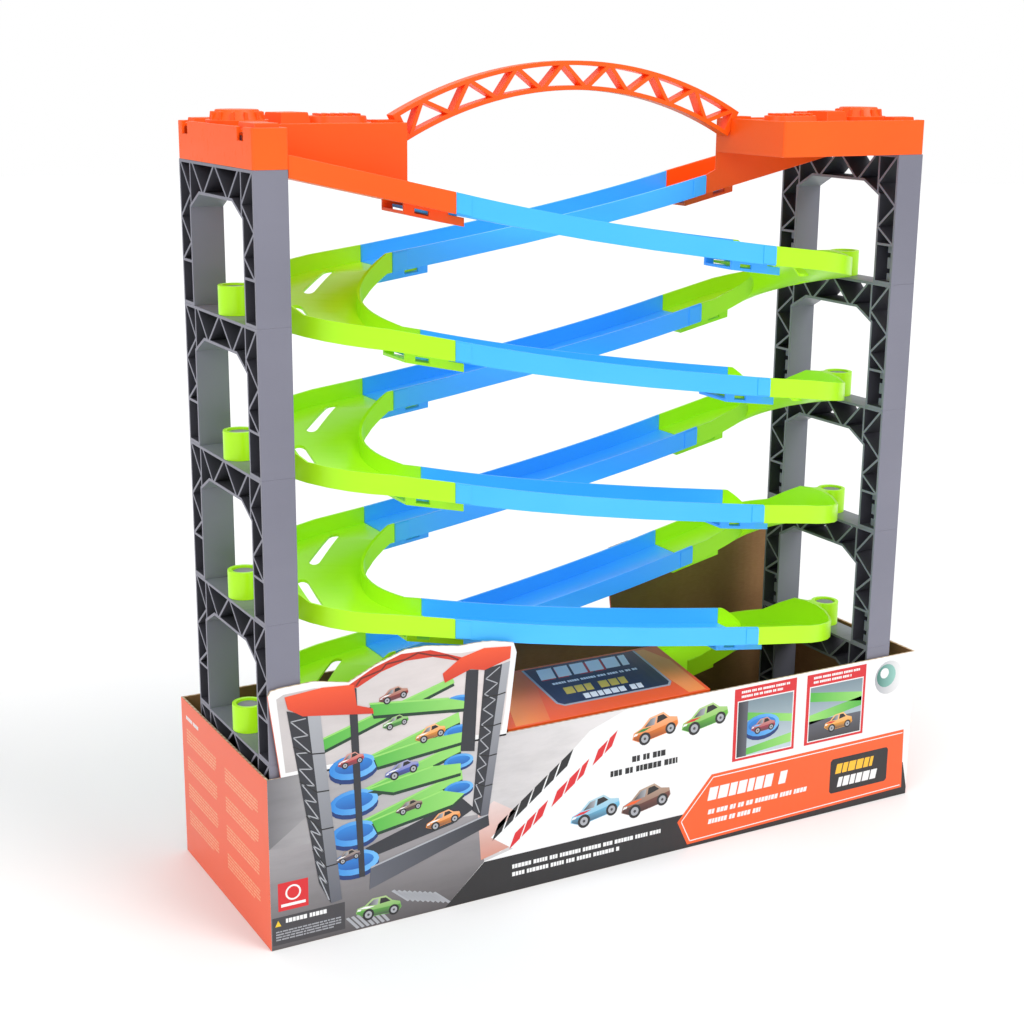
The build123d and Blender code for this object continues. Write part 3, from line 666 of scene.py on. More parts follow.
def printed_car(sheet, x, z, width, height, level, paint, dark, stripe, tilt=0.0):
    """Small car printed with its lower left corner at (x, z)."""
    def drawn(outline):
        return [(x + u * width, z + v * height + (u - 0.5) * tilt * width) for u, v in outline]

    lit = tuple(low + (high - low) * 0.35 for low, high in zip(paint, CREAM))
    patch(sheet, drawn(CAR_BODY), level, paint, (lit, 2))
    patch(sheet, drawn(CAR_SIDE), level + 1, dark, (paint, 2))
    patch(sheet, drawn(CAR_GLASS), level + 1, BLACK, (SILVER, 0))
    patch(sheet, drawn(CAR_SIDE_GLASS), level + 1, BLACK)
    patch(sheet, drawn(CAR_STRIPE), level + 1, stripe)
    patch(sheet, drawn(CAR_LIGHT), level + 2, WHITE)
    for hub_x, hub_z, radius in ((0.27, 0.2, 0.125), (0.83, 0.27, 0.115)):
        middle_x, middle_z = drawn([(hub_x, hub_z)])[0]
        disc(sheet, middle_x, middle_z, radius * width, level + 2, BLACK)
        disc(sheet, middle_x, middle_z, radius * width * 0.62, level + 3, SILVER)
        disc(sheet, middle_x, middle_z, radius * width * 0.22, level + 4, DARK)


# %% [markdown]
# ## A drawing of the set itself
# The tray's front and the card that stands above it carry one big picture of the set. It is drawn
# from the same parts as the real one, in flat colour: two dark towers with truss lines, orange
# platforms, the arch, and the channels with their loops. On the box the colours are swapped, with
# green straights and blue curves.

# %% Picture of the set
PIC_DARK = tint(42, 43, 50)
PIC_GREY = tint(92, 94, 104)
PIC_SHADE = tint(20, 56, 34)
PIC_DEEP = tint(14, 50, 112)
PIC_BLUE = tint(38, 132, 214)
PIC_BLUE_LIGHT = tint(110, 184, 240)
PIC_GREEN = tint(78, 176, 64)
PIC_GREEN_LIGHT = tint(150, 216, 110)
PIC_ORANGE = tint(204, 50, 22)


def pictured_towers(sheet, level):
    """The two towers of the picture, each with a face and a trussed side."""
    patch(sheet, [(-196.6, 132.7), (-185.3, 128.5), (-174.3, 19.8), (-180.8, 32.9)], level, PIC_DARK)
    patch(sheet, [(-185.3, 128.5), (-178.2, 127.4), (-168, 20.6), (-174.3, 19.8)], level, PIC_GREY,
          (SILVER, 2))
    zigzag(sheet, [(-195.4, 131), (-180.4, 33)], [(-186.3, 127), (-175.3, 22)], 22, 0.6, level + 1, SILVER)
    patch(sheet, [(-162.4, 139), (-157.8, 138.6), (-154.4, 30.8), (-157.7, 31)], level, PIC_DARK)
    patch(sheet, [(-71.6, 137.5), (-66.7, 138.4), (-79.6, 50.8), (-84.5, 50.7)], level, PIC_GREY,
          (SILVER, 2))
    patch(sheet, [(-82.2, 136.4), (-71.6, 137.5), (-84.5, 50.7), (-89.5, 55)], level, PIC_DARK)
    zigzag(sheet, [(-81.2, 135), (-88.7, 57)], [(-73, 136.2), (-85.2, 53)], 18, 0.6, level + 1, SILVER)
    patch(sheet, [(-93.3, 137.8), (-86.1, 136.6), (-88.4, 90.1), (-96.9, 91.7)], level, PIC_DARK)
    for share in (0.2, 0.4, 0.6, 0.8):
        left = [(-196.6 + 15.8 * share, 132.7 - 99.8 * share), (-185.3 + 11 * share, 128.5 - 108.7 * share),
                (-178.2 + 10.2 * share, 127.4 - 106.8 * share)]
        right = [(-82.2 - 7.3 * share, 136.4 - 81.4 * share), (-71.6 - 12.9 * share, 137.5 - 86.8 * share),
                 (-66.7 - 12.9 * share, 138.4 - 87.6 * share)]
        ribbon(sheet, left, 0.7, level + 2, BLACK)
        ribbon(sheet, right, 0.7, level + 2, BLACK)


def oval(x, z, wide, high):
    """Outline of an oval with these half sizes."""
    turns = [radians(360 * step / 18) for step in range(18)]
    return [(x + wide * cos(angle), z + high * sin(angle)) for angle in turns]


def pictured_loop(sheet, x, z, wide, high, level):
    """One U-turn of the picture, seen from above as a bowl with a deep underside."""
    patch(sheet, oval(x, z - high * 0.35, wide, high), level, PIC_DEEP)
    patch(sheet, oval(x, z, wide, high), level + 1, PIC_BLUE, (PIC_BLUE_LIGHT, 0))
    patch(sheet, oval(x, z + high * 0.1, wide * 0.78, high * 0.62), level + 2, tint(24, 92, 172),
          (PIC_BLUE, 2))


def pictured_track(sheet, corners, level):
    """One straight track of the picture, with a dark underside and a lit upper edge."""
    patch(sheet, [(x, z - 1.8) for x, z in corners], level, PIC_SHADE)
    patch(sheet, corners, level + 1, PIC_GREEN, (PIC_GREEN_LIGHT, 0))
    ribbon(sheet, [corners[0], corners[1]], 0.9, level + 2, PIC_GREEN_LIGHT)


def pictured_set(sheet, level):
    """The whole picture, from the back to the front."""
    patch(sheet, [(-154, 47), (-95.6, 63.6), (-88.3, 56.2), (-101.7, 49.7), (-148, 41.4)], level, PIC_DARK)
    patch(sheet, [(-157, 138.7), (-143.4, 145.1), (-129.6, 148.8), (-113.4, 148.4), (-98.1, 143.6),
                  (-94.5, 144.7), (-114.6, 152.4), (-131.9, 153), (-147.8, 148), (-164.7, 139.5)],
          level + 1, PIC_ORANGE)
    arch_low = [(-158, 139.6), (-143.4, 146), (-129.6, 149.6), (-113.4, 149.2), (-98.1, 144.2)]
    arch_high = [(-155, 143.3), (-140.6, 148.9), (-122, 152.1), (-104.5, 147.8)]
    for low, high in zip(arch_low, arch_high):
        ribbon(sheet, [low, high], 0.9, level + 2, tint(110, 26, 14))
    for low, high in zip(arch_low[1:], arch_high):
        ribbon(sheet, [high, low], 0.9, level + 2, tint(110, 26, 14))
    backs = [
        [(-176.9, 113.9), (-101.7, 134.7), (-100.5, 131.7), (-177, 107.3)],
        [(-170, 93.5), (-98, 114), (-97, 108.5), (-168, 88)],
        [(-168, 77), (-97, 97), (-96.5, 91.5), (-166, 71.5)],
        [(-166, 60), (-96, 80), (-95.5, 75), (-164, 55)],
    ]
    for corners in backs:
        pictured_track(sheet, corners, level + 2)
    for middle in (70, 86, 103, 120):
        pictured_loop(sheet, -98, middle, 9, 4.2, level + 5)
    for middle in (40, 57, 75, 95):
        pictured_loop(sheet, -160, middle, 14, 7, level + 5)
    fronts = [
        [(-150.4, 128.5), (-104, 123.3), (-90.9, 119.2), (-90.9, 115.6), (-148.2, 121.6)],
        [(-148.5, 98.3), (-118.3, 102.4), (-94.5, 102.6), (-94.5, 97), (-146.3, 92.3)],
        [(-152.2, 80.6), (-113.6, 86.2), (-96.8, 84.6), (-96.8, 79), (-137.2, 75.9)],
        [(-150.1, 62), (-107.7, 70.8), (-94.4, 66.4), (-101.7, 61.4), (-146.7, 54.9)],
    ]
    for corners in fronts:
        pictured_track(sheet, corners, level + 8)
    patch(sheet, [(-151, 35.1), (-79.6, 50.8), (-78.9, 44.1), (-151.8, 22.5)], level + 8, PIC_GREY,
          (PIC_DARK, 0))
    ribbon(sheet, [(-151, 35.1), (-79.6, 50.8)], 0.9, level + 9, SILVER)
    pictured_towers(sheet, level + 11)
    patch(sheet, [(-197.5, 140.4), (-176.8, 142.1), (-159.2, 140.7), (-157.7, 129), (-148.7, 125.7),
                  (-148.2, 122.8), (-188, 128.5), (-196, 133.7)], level + 14, PIC_ORANGE,
          (tint(238, 84, 40), 2))
    patch(sheet, [(-96.9, 145.1), (-82.6, 148.4), (-66.2, 146.8), (-66.7, 140.1), (-82.5, 135.9),
                  (-90.9, 137.9), (-106.4, 132.7), (-107.6, 137.9)], level + 14, PIC_ORANGE,
          (tint(238, 84, 40), 2))
    cars = (
        (-145, 127.5, 17, 8, tint(150, 40, 36)), (-143, 112.5, 15, 7, tint(70, 170, 50)),
        (-124, 101.5, 18, 9, tint(240, 150, 30)), (-142, 84, 20, 9, tint(60, 90, 190)),
        (-136, 62.5, 16, 7, tint(90, 60, 50)), (-118, 49.5, 21, 9.5, tint(240, 140, 30)),
        (-169, 95.5, 15, 8, tint(190, 40, 60)), (-171, 41.5, 14, 7, tint(90, 70, 90)),
    )
    for x, z, width, height, paint in cars:
        printed_car(sheet, x, z, width, height, level + 15, paint, DARK, WHITE, 0.12)


# %% [markdown]
# ## Front of the tray
# The left third is a blurred grey road with a red glow and the picture of the set. A black band and
# an orange arrow run along the bottom, and the white middle holds the little cars, two small framed
# pictures and bars for the slogans.

# %% Front print
def framed_picture(sheet, x, z, width, height, level, seed):
    """Red frame with a small picture of a channel and a car."""
    box(sheet, x, x + width, z, z + height, level, RED)
    small_print(sheet, x + 5, z + height - 1.8, width - 10, 1.5, 2, level + 1, WHITE, seed)
    low_x, high_x, low_z, high_z = x + 3, x + width - 2.5, z + 2.2, z + height - 8.6
    box(sheet, low_x - 0.7, high_x + 0.7, low_z - 0.7, high_z + 0.7, level + 1, WHITE)
    box(sheet, low_x, high_x, low_z, high_z, level + 2, tint(190, 206, 214), fade=(tint(120, 140, 150), 2))
    return low_x, high_x, low_z, high_z


def framed_turn(sheet, x, z, level):
    """First small picture: a blue loop with two channels."""
    low_x, high_x, low_z, high_z = framed_picture(sheet, x, z, 46, 46, level, 11)
    patch(sheet, [(low_x, high_z - 6), (high_x, high_z - 14), (high_x, high_z - 19), (low_x, high_z - 11)],
          level + 3, PIC_GREEN, (PIC_GREEN_LIGHT, 0))
    patch(sheet, [(low_x, low_z + 4), (high_x, low_z + 9), (high_x, low_z + 3), (low_x, low_z)],
          level + 3, PIC_GREEN, (PIC_GREEN_LIGHT, 0))
    pictured_loop(sheet, x + 21, z + 20, 13, 7, level + 4)
    box(sheet, low_x, low_x + 7, low_z, high_z, level + 6, PIC_DARK, fade=(PIC_GREY, 0))
    printed_car(sheet, x + 13, z + 15, 18, 10, level + 8, tint(170, 40, 70), DARK, PIC_BLUE_LIGHT)


def framed_run(sheet, x, z, level):
    """Second small picture: a green channel with a car and the basin."""
    low_x, high_x, low_z, high_z = framed_picture(sheet, x, z, 46, 45.7, level, 12)
    box(sheet, low_x, high_x, low_z, low_z + 13, level + 3, DARK, fade=(PIC_GREY, 2))
    patch(sheet, [(low_x, high_z - 3), (high_x, high_z - 9), (high_x, high_z - 15), (low_x, high_z - 9)],
          level + 3, PIC_GREEN, (PIC_GREEN_LIGHT, 0))
    patch(sheet, [(low_x, low_z + 17), (high_x, low_z + 23), (high_x, low_z + 17), (low_x, low_z + 11)],
          level + 3, PIC_GREEN_LIGHT, (PIC_GREEN, 0))
    printed_car(sheet, x + 15, z + 5.5, 22, 12, level + 5, tint(240, 160, 30), DARK, RED)


def front_print():
    """Everything on the tray's front and on the card that stands above it."""
    sheet = new_sheet()
    # road, glow and the standing card
    patch(sheet, [(-208.2, 0.2), (-106.6, 0.2), (-81.9, 22.7), (-63.7, 26.4), (-77.8, 36.3), (-50, 56.9),
                  (-14.5, 76.4), (10.4, 96.5), (-208.2, 96.5)], 1, tint(150, 147, 150),
          (tint(226, 222, 222), 0), 0.5)
    patch(sheet, [(-208.2, 0.2), (-106.6, 0.2), (-81.9, 22.7), (-86, 52), (-208.2, 58)], 2, tint(84, 80, 82),
          (tint(158, 154, 157), 2), 0.5)
    patch(sheet, [(-200.3, 95.5), (-68.6, 95.5), (-66.4, 110.3), (-62.6, 142.8), (-64.5, 148.4),
                  (-77.8, 151.3), (-88.6, 151.9), (-96.9, 151.6), (-116.9, 154.8), (-129.6, 154.7),
                  (-145.6, 149.6), (-161.9, 142.1), (-181.1, 145.9), (-199.5, 145.3), (-204.6, 144.5),
                  (-206.3, 142)], 1, WHITE)
    patch(sheet, [(-198, 99), (-71.6, 99), (-69.4, 110.3), (-66.4, 141), (-67.5, 145.6), (-78.8, 147.6),
                  (-96.9, 147.8), (-116.9, 151.2), (-129, 151.2), (-144.6, 146.4), (-161.3, 138.6),
                  (-181.1, 142.5), (-198, 141.9), (-202, 140)], 2, tint(196, 190, 190),
          (tint(224, 214, 212), 0), 0.35)
    patch(sheet, [(-84, 24), (-66, 28), (-77.8, 36.3), (-62, 49), (-76, 58), (-86, 52)], 3,
          tint(206, 140, 122), (tint(226, 206, 202), 2), 0.2)
    patch(sheet, [(-208.2, 58), (-176, 80), (-182, 97), (-208.2, 97)], 2, tint(112, 110, 114),
          (tint(170, 168, 170), 0), 0.5)
    # crossing lines on the road
    for stripe in range(9):
        x = -138.9 + stripe * 3.1
        z = -stripe * 0.9
        patch(sheet, [(x, z + 18.2), (x + 1.7, z + 18.8), (x + 11.2, z + 10.6), (x + 9.8, z + 9.8)], 3, SILVER)
    for stripe in range(7):
        x = -165.9 + stripe * 3.0
        patch(sheet, [(x, 8.4 + stripe * 0.15), (x + 1.6, 8.8 + stripe * 0.15), (x + 8, 1.4),
                      (x + 6.4, 0.9)], 3, SILVER)
    pictured_set(sheet, 4)
    printed_car(sheet, -160, 4.5, 27, 13, 8, tint(90, 170, 60), DARK, WHITE, -0.1)
    # badge and small print strip
    box(sheet, -204, -187, 21.8, 37.8, 3, RED)
    disc(sheet, -195.5, 31.4, 4.4, 4, WHITE)
    disc(sheet, -195.5, 31.4, 3.4, 5, RED)
    box(sheet, -202.4, -188.6, 24, 25.6, 4, WHITE)
    box(sheet, -207.6, -166.3, 2.7, 18.6, 3, DARK)
    small_print(sheet, -200, 17, 30, 2.4, 1, 4, WHITE, 3)
    small_print(sheet, -205.6, 10.6, 37, 0.8, 4, 4, SILVER, 4)
    patch(sheet, [(-206, 13.4), (-202.6, 13.4), (-204.3, 16.8)], 4, tint(240, 200, 40))
    # black band with its line of small print
    patch(sheet, [(-106.6, 0.2), (225.2, 0.2), (225.2, 5), (221.2, 22.4), (-81.9, 22.4)], 2, BLACK)
    small_print(sheet, -64, 16.6, 100, 2.5, 2, 3, WHITE, 5)
    # leaning slogans
    patch(sheet, [(-72, 26), (-77.8, 36.3), (-50, 58), (-14.5, 88), (10, 96.5), (20, 88), (-20, 55)],
          2, WHITE)
    small_print(sheet, -77, 43.5, 64, 9.5, 1, 3, BLACK, 21, 0.74, 0.4)
    small_print(sheet, -66, 35.6, 74, 9.0, 1, 4, RED, 26, 0.74, 0.4)
    # little cars with two short lines between them
    printed_car(sheet, 14.3, 73.5, 31.7, 17, 3, tint(240, 130, 40), tint(120, 50, 20), tint(40, 130, 60), 0.12)
    printed_car(sheet, 48.5, 73.6, 33.2, 16.4, 3, tint(110, 190, 60), tint(30, 90, 40), RED, 0.12)
    printed_car(sheet, -26.2, 30.8, 33.2, 16, 3, tint(110, 190, 226), tint(60, 70, 90), RED, 0.12)
    printed_car(sheet, 8.1, 29.3, 34.1, 17.4, 3, tint(120, 70, 60), tint(40, 24, 24), ORANGE, 0.12)
    small_print(sheet, 14.6, 66.6, 35, 3.6, 1, 3, BLACK, 31)
    small_print(sheet, 0, 60.2, 64, 3.6, 1, 3, BLACK, 32)
    # orange arrow with its inset line and bars
    patch(sheet, [(47.8, 18.1), (71.4, 44), (220, 45), (221.2, 5.2), (55.4, 2.2)], 4, ORANGE)
    ribbon(sheet, [(219.2, 42.9), (72.6, 42), (50.6, 17.8), (57.2, 4.2), (219.8, 7)], 0.6, 5, WHITE)
    small_print(sheet, 69, 35.6, 84, 8.2, 1, 5, WHITE, 43, 0.0, 0.2)
    small_print(sheet, 69.6, 21.5, 83, 3.0, 1, 5, WHITE, 42, 0.0, 0.2)
    small_print(sheet, 70, 15.2, 47, 3.0, 1, 5, WHITE, 44, 0.0, 0.2)
    # dark label with two bars
    patch(sheet, [(162, 14), (163.5, 12.5), (206.5, 12.5), (208, 14), (208, 34), (206.5, 35.5), (163.5, 35.5),
                  (162, 34)], 6, BLACK)
    small_print(sheet, 166, 31.6, 38, 6.4, 1, 7, tint(250, 190, 40), 51, 0.0, 0.2)
    small_print(sheet, 168, 22.4, 33, 6.4, 1, 7, WHITE, 56, 0.0, 0.2)
    framed_turn(sheet, 86, 49, 3)
    framed_run(sheet, 140, 49, 3)
    # plain round mark
    disc(sheet, 204.5, 82.8, 11, 3, SILVER, (WHITE, 0))
    disc(sheet, 202.5, 84.2, 7.6, 4, tint(60, 120, 110), (tint(150, 200, 190), 0))
    disc(sheet, 201, 86, 3.4, 5, WHITE)
    return sheet


picture = front_print()
second_picture = picture.copy()
to_front = Matrix.Translation((0, tray_low.y, 0))
publish_print("front_print", picture, to_front, "tray")

# %% [markdown]
# ## Back and sides of the tray
# The back carries the same picture, turned half round, which is how such trays are printed for a shop
# shelf seen from both sides. The orange sides carry blocks of small print in pale orange.

# %% Back and side prints
middle = (tray_low + tray_high) / 2
half_turn = Matrix.Rotation(radians(180), 4, "Z")
to_back = Matrix.Translation((2 * middle.x, tray_high.y, 0)) @ half_turn
publish_print("back_print", second_picture, to_back, "tray")


def side_print():
    """Blocks of small print on an orange side."""
    sheet = new_sheet()
    pale = tint(255, 176, 130)
    for block_row in range(4):
        small_print(sheet, -60, 80 - block_row * 17, 50, 1.0, 5, 1, pale, 60 + block_row)
        small_print(sheet, 4, 80 - block_row * 17, 50, 1.0, 5, 1, pale, 70 + block_row)
    small_print(sheet, -60, 88, 30, 2.2, 1, 1, WHITE, 80)
    return sheet


for name, x, quarter in (("left_print", tray_low.x, -90), ("right_print", tray_high.x, 90)):
    placing = Matrix.Translation((x, middle.y, 0)) @ Matrix.Rotation(radians(quarter), 4, "Z")
    publish_print(name, side_print(), placing, "tray")

# %% [markdown]
# ## Insert card
# A card bent from one sheet slopes between the towers, above the parked cars. Its slope is printed
# orange with a dark label, its front faces are plain orange, and the rest of it is brown kraft.

# %% Insert card
insert_shape = merged_copy("insert_card")
insert_ink = insert_shape.loops.layers.float_color.new("ink")
slope_face = max(insert_shape.faces, key=lambda face: face.normal.z * face.calc_area())
slope_normal = slope_face.normal.copy()
slope_edge = min((vert.co for vert in slope_face.verts), key=lambda spot: spot.y).copy()
for face in insert_shape.faces:
    printed = face.normal.dot(slope_normal) > 0.99 or face.normal.y < -0.9
    face.material_index = 0 if printed else 1
    for corner in face.loops:
        corner[insert_ink] = (*ORANGE[:3], 0.0)
smooth_but_sharp(insert_shape)
insert = publish("insert_board", insert_shape, [print_finish, kraft_finish], "track_set",
                 ["insert_card"])
soften(insert, 0.2)
print("insert slope:", [round(value, 3) for value in slope_normal])


def insert_print():
    """Dark label with a pale rim, between orange bands."""
    sheet = new_sheet()
    patch(sheet, [(-60, 1), (-38, 1), (-20, 57), (-42, 57)], 1, tint(255, 150, 70), (tint(240, 90, 30), 0))
    patch(sheet, [(56, 1), (68, 1), (68, 40), (60, 57), (50, 57)], 1, tint(255, 150, 70))
    patch(sheet, [(-25.5, 16), (-22, 12), (50, 12), (53.5, 16), (53.5, 57.5), (-25.5, 57.5)], 2, SILVER)
    patch(sheet, [(-24, 16.6), (-21.4, 13.6), (49.4, 13.6), (52, 16.6), (52, 57.5), (-24, 57.5)], 3, NAVY)
    small_print(sheet, -14, 31, 58, 7.5, 1, 4, tint(220, 190, 70), 91, 0.0, 0.2)
    small_print(sheet, -6, 21, 50, 5.5, 1, 4, WHITE, 92, 0.0, 0.2)
    small_print(sheet, -16, 38, 60, 2.2, 1, 4, WHITE, 93)
    small_print(sheet, -20, 54, 66, 12, 1, 4, RED, 94, 0.0, 0.25)
    small_print(sheet, -20, 55, 66, 12, 1, 5, WHITE, 95, 0.0, 0.25)
    return sheet


tip_over = Matrix.Rotation(atan2(slope_normal.y, slope_normal.z) * -1 - radians(90), 4, "X")
to_slope = Matrix.Translation((0, slope_edge.y, slope_edge.z)) @ tip_over
publish_print("insert_print", insert_print(), to_slope, "track_set")

# %% [markdown]
# ## Parked cars
# Two small metal cars wait in the basin. Each has a cast and painted shell over a dark base, smoked
# windows, and wheels with bright rims on steel axles. The cast shell is all soft curves, so it starts
# as a cube that is cut into stations, drawn to the car's side line, and smoothed with a Subdivision
# Surface. The wheel wells are then cut with a Boolean, and the result is kept as a plain mesh.

# %% Car finishes
def cast_paint(name, colour, stripe, middle_x, middle_y):
    """Gloss paint with two stripes along the roof, orange peel and a few chips."""
    finish = Finish(name)
    centred = finish.node("Mapping", {}, {0: finish.place, "Location": (-middle_x, -middle_y, 0)})
    across = finish.node("SeparateXYZ", {}, {0: centred}, out="Y")
    offset = finish.node("Math", {"operation": "ABSOLUTE"}, {0: across})
    band = (offset > 0.0009) * (offset < 0.0036)
    chips = finish.ramp(finish.grain(420, 4.0, 0.7), (0.70, 0.0), (0.73, 1.0))
    peel = finish.grain(500, 2.0)
    painted = finish.blend(band, colour, stripe)
    finish.fill(finish.surface, {
        "Base Color": finish.blend(chips * 0.7, painted, tint(150, 150, 152)),
        "Roughness": peel * 0.08 + chips * 0.25 + 0.2,
        "Coat Weight": 0.6,
        "Coat Roughness": 0.06,
        "Normal": finish.bumped(peel - chips * 0.6, 0.12, 0.0001),
    })
    return finish


def smoked_window():
    """Dark moulded window, glossy, with a faint streak of moulding flow."""
    finish = Finish("smoked_window")
    flow = finish.grain(120, 3.0)
    finish.fill(finish.surface, {
        "Base Color": finish.blend(flow, tint(24, 28, 34), tint(52, 58, 66)),
        "Roughness": flow * 0.08 + 0.06,
        "Coat Weight": 0.5,
    })
    return finish


def bright_metal(name, colour, rough):
    """Bright rim or axle metal with fine turning marks."""
    finish = Finish(name)
    turned = finish.grain(700, 3.0, 0.6, finish.stretched(1.0, 0.1, 1.0))
    finish.fill(finish.surface, {
        "Base Color": finish.blend(turned * 0.6, colour, tint(120, 120, 124)),
        "Metallic": 1.0,
        "Roughness": turned * 0.15 + rough,
        "Normal": finish.bumped(turned, 0.15, 0.00008),
    })
    return finish


window_finish = smoked_window()
rim_finish = bright_metal("bright_rim", tint(214, 214, 218), 0.16)
axle_finish = bright_metal("steel_axle", tint(190, 190, 194), 0.22)
tyre_finish = moulded_plastic("tyre_plastic", tint(34, 34, 36), tint(22, 22, 24), 0.5, 0.0)
base_plastic = moulded_plastic("base_plastic", tint(44, 44, 48), tint(30, 30, 34), 0.45, 0.0)
lamp_plastic = moulded_plastic("lamp_plastic", tint(244, 238, 214), tint(250, 220, 150), 0.15, 0.5)

# %% Car shell
CAR_LENGTH = 71.4
CAR_WIDTH = 29.4
SIDE_LINE = ((-36, 11.2), (-31, 12.9), (-21, 13.2), (-12, 12.9), (12, 12.8), (21, 12.6), (29, 11.0), (36, 8.4))
WELLS = (-21.5, 21.5)
WHEEL_RADIUS = 5.6


def side_line(x):
    """Height of the shell's top along the car, in millimetres."""
    for (low_x, low_z), (high_x, high_z) in zip(SIDE_LINE, SIDE_LINE[1:]):
        if x <= high_x:
            return low_z + (high_z - low_z) * max(0.0, x - low_x) / (high_x - low_x)
    return SIDE_LINE[-1][1]


def cut_across(shape, axis, cuts):
    """Cut a shape through at these places on one axis, in millimetres."""
    normal = Vector((0, 0, 0))
    normal[axis] = 1
    for cut in cuts:
        everything = list(shape.verts) + list(shape.edges) + list(shape.faces)
        bmesh.ops.bisect_plane(shape, geom=everything, plane_co=normal * cut * MM, plane_no=normal)


def shell_shape():
    """Rounded control shape of a car's shell."""
    shape = bmesh.new()
    bmesh.ops.create_cube(shape, size=1)
    bmesh.ops.scale(shape, vec=(CAR_LENGTH * MM, CAR_WIDTH * MM, 8 * MM), verts=shape.verts)
    bmesh.ops.translate(shape, vec=(0, 0, 8.4 * MM), verts=shape.verts)
    cut_across(shape, 0, (-33.5, -29, -21.5, -14, -6, 4, 13, 21.5, 29, 33.5))
    cut_across(shape, 1, (-13, -7, 0, 7, 13))
    cut_across(shape, 2, (5.2, 8.2, 11))
    for vert in shape.verts:
        x, y, z = vert.co / MM
        height = (z - 4.4) / 8
        end = abs(x) / 36
        flare = max(0.0, 1 - min(abs(x - well) for well in WELLS) / 9)
        y *= 1 - 0.16 * end ** 5 - 0.10 * height ** 2 + 0.03 * flare
        z = 4.4 + height * (side_line(x) - 4.4) + 0.9 * flare * height * abs(y) / 15
        x *= 1 - 0.05 * (y / 14) ** 2 * end
        vert.co = Vector((x, y, z)) * MM
    return shape


def temporary(name, shape):
    """Object that is only needed until its shape has been used."""
    mesh = bpy.data.meshes.new(name)
    shape.to_mesh(mesh)
    shape.free()
    helper = bpy.data.objects.new(name, mesh)
    scene.collection.objects.link(helper)
    return helper


def cut_shell():
    """The smoothed shell with its four wheel wells, as a mesh."""
    shell = temporary("shell_draft", shell_shape())
    wells = bmesh.new()
    for well in WELLS:
        for side in (-1, 1):
            place = Matrix.Translation((well * MM, side * 14.6 * MM, WHEEL_RADIUS * MM))
            lying = place @ Matrix.Rotation(radians(90), 4, "X")
            bmesh.ops.create_cone(wells, cap_ends=True, segments=40, radius1=6.5 * MM, radius2=6.5 * MM,
                                  depth=12 * MM, matrix=lying)
    cutter = temporary("wells_draft", wells)
    smooth = shell.modifiers.new("smooth", "SUBSURF")
    smooth.levels = smooth.render_levels = 2
    carve = shell.modifiers.new("carve", "BOOLEAN")
    carve.object = cutter
    carve.solver = "EXACT"
    bpy.context.view_layer.update()
    finished = shell.evaluated_get(bpy.context.evaluated_depsgraph_get())
    mesh = bpy.data.meshes.new_from_object(finished)
    for helper in (shell, cutter):
        bpy.data.objects.remove(helper)
    return mesh


shell_mesh = cut_shell()
print("car shell:", len(shell_mesh.polygons), "faces")

# %% [markdown]
# ## Cabin, lamps and wheels
# The roof and its four pillars are part of the painted casting, and the window moulding fills the
# space behind them. A wheel is one profile spun about its axle. Its rim is a disc whose sectors are
# inset, and every second one is pushed in to leave spokes.


# %% Car details
def softened_box(shape, low, high, top_scale, edge):
    """Box between two corners in millimetres, drawn in towards its top and with round edges."""
    made = bmesh.ops.create_cube(shape, size=1)["verts"]
    size = [high[axis] - low[axis] for axis in range(3)]
    mid = [(high[axis] + low[axis]) / 2 for axis in range(3)]
    bmesh.ops.scale(shape, vec=Vector(size) * MM, verts=made)
    for vert in made:
        if vert.co.z > 0:
            vert.co.x *= top_scale[0]
            vert.co.y *= top_scale[1]
    bmesh.ops.translate(shape, vec=Vector(mid) * MM, verts=made)
    edges = {edge for vert in made for edge in vert.link_edges}
    bmesh.ops.bevel(shape, geom=list(edges), offset=edge * MM, segments=3, profile=0.5, affect="EDGES",
                    material=-1)


def pillar(shape, foot, head, wide):
    """Slanted roof pillar from a foot point to a head point."""
    run = Vector(head) - Vector(foot)
    turned = run.to_track_quat("Z", "Y").to_matrix().to_4x4()
    place = Matrix.Translation((Vector(foot) + Vector(head)) / 2 * MM) @ turned
    bmesh.ops.create_cone(shape, cap_ends=True, segments=8, radius1=wide * MM, radius2=wide * 0.8 * MM,
                          depth=run.length * MM, matrix=place)


def car_body_shape():
    """Painted casting: shell, roof, pillars and spoiler."""
    shape = bmesh.new()
    shape.from_mesh(shell_mesh)
    softened_box(shape, (-14.6, -8.6, 18.7), (6.6, 8.6, 19.9), (0.9, 0.9), 0.45)
    for side in (-1, 1):
        pillar(shape, (11.6, side * 11.0, 12.4), (6.0, side * 7.8, 19.2), 0.8)
        pillar(shape, (-18.0, side * 11.0, 12.6), (-13.8, side * 7.8, 19.2), 1.1)
        pillar(shape, (-4.2, side * 11.2, 12.4), (-4.0, side * 8.2, 19.2), 0.7)
        softened_box(shape, (-34.4, side * 8.4 - 0.7, 11), (-32.2, side * 8.4 + 0.7, 16.2), (1, 1), 0.2)
    softened_box(shape, (-36, -12.5, 15.6), (-31, 12.5, 16.7), (0.95, 0.98), 0.4)
    return shape


def car_window_shape():
    """Window moulding inside the pillars."""
    shape = bmesh.new()
    softened_box(shape, (-18.2, -11.2, 12.2), (12.0, 11.2, 18.9), (0.68, 0.72), 1.0)
    return shape


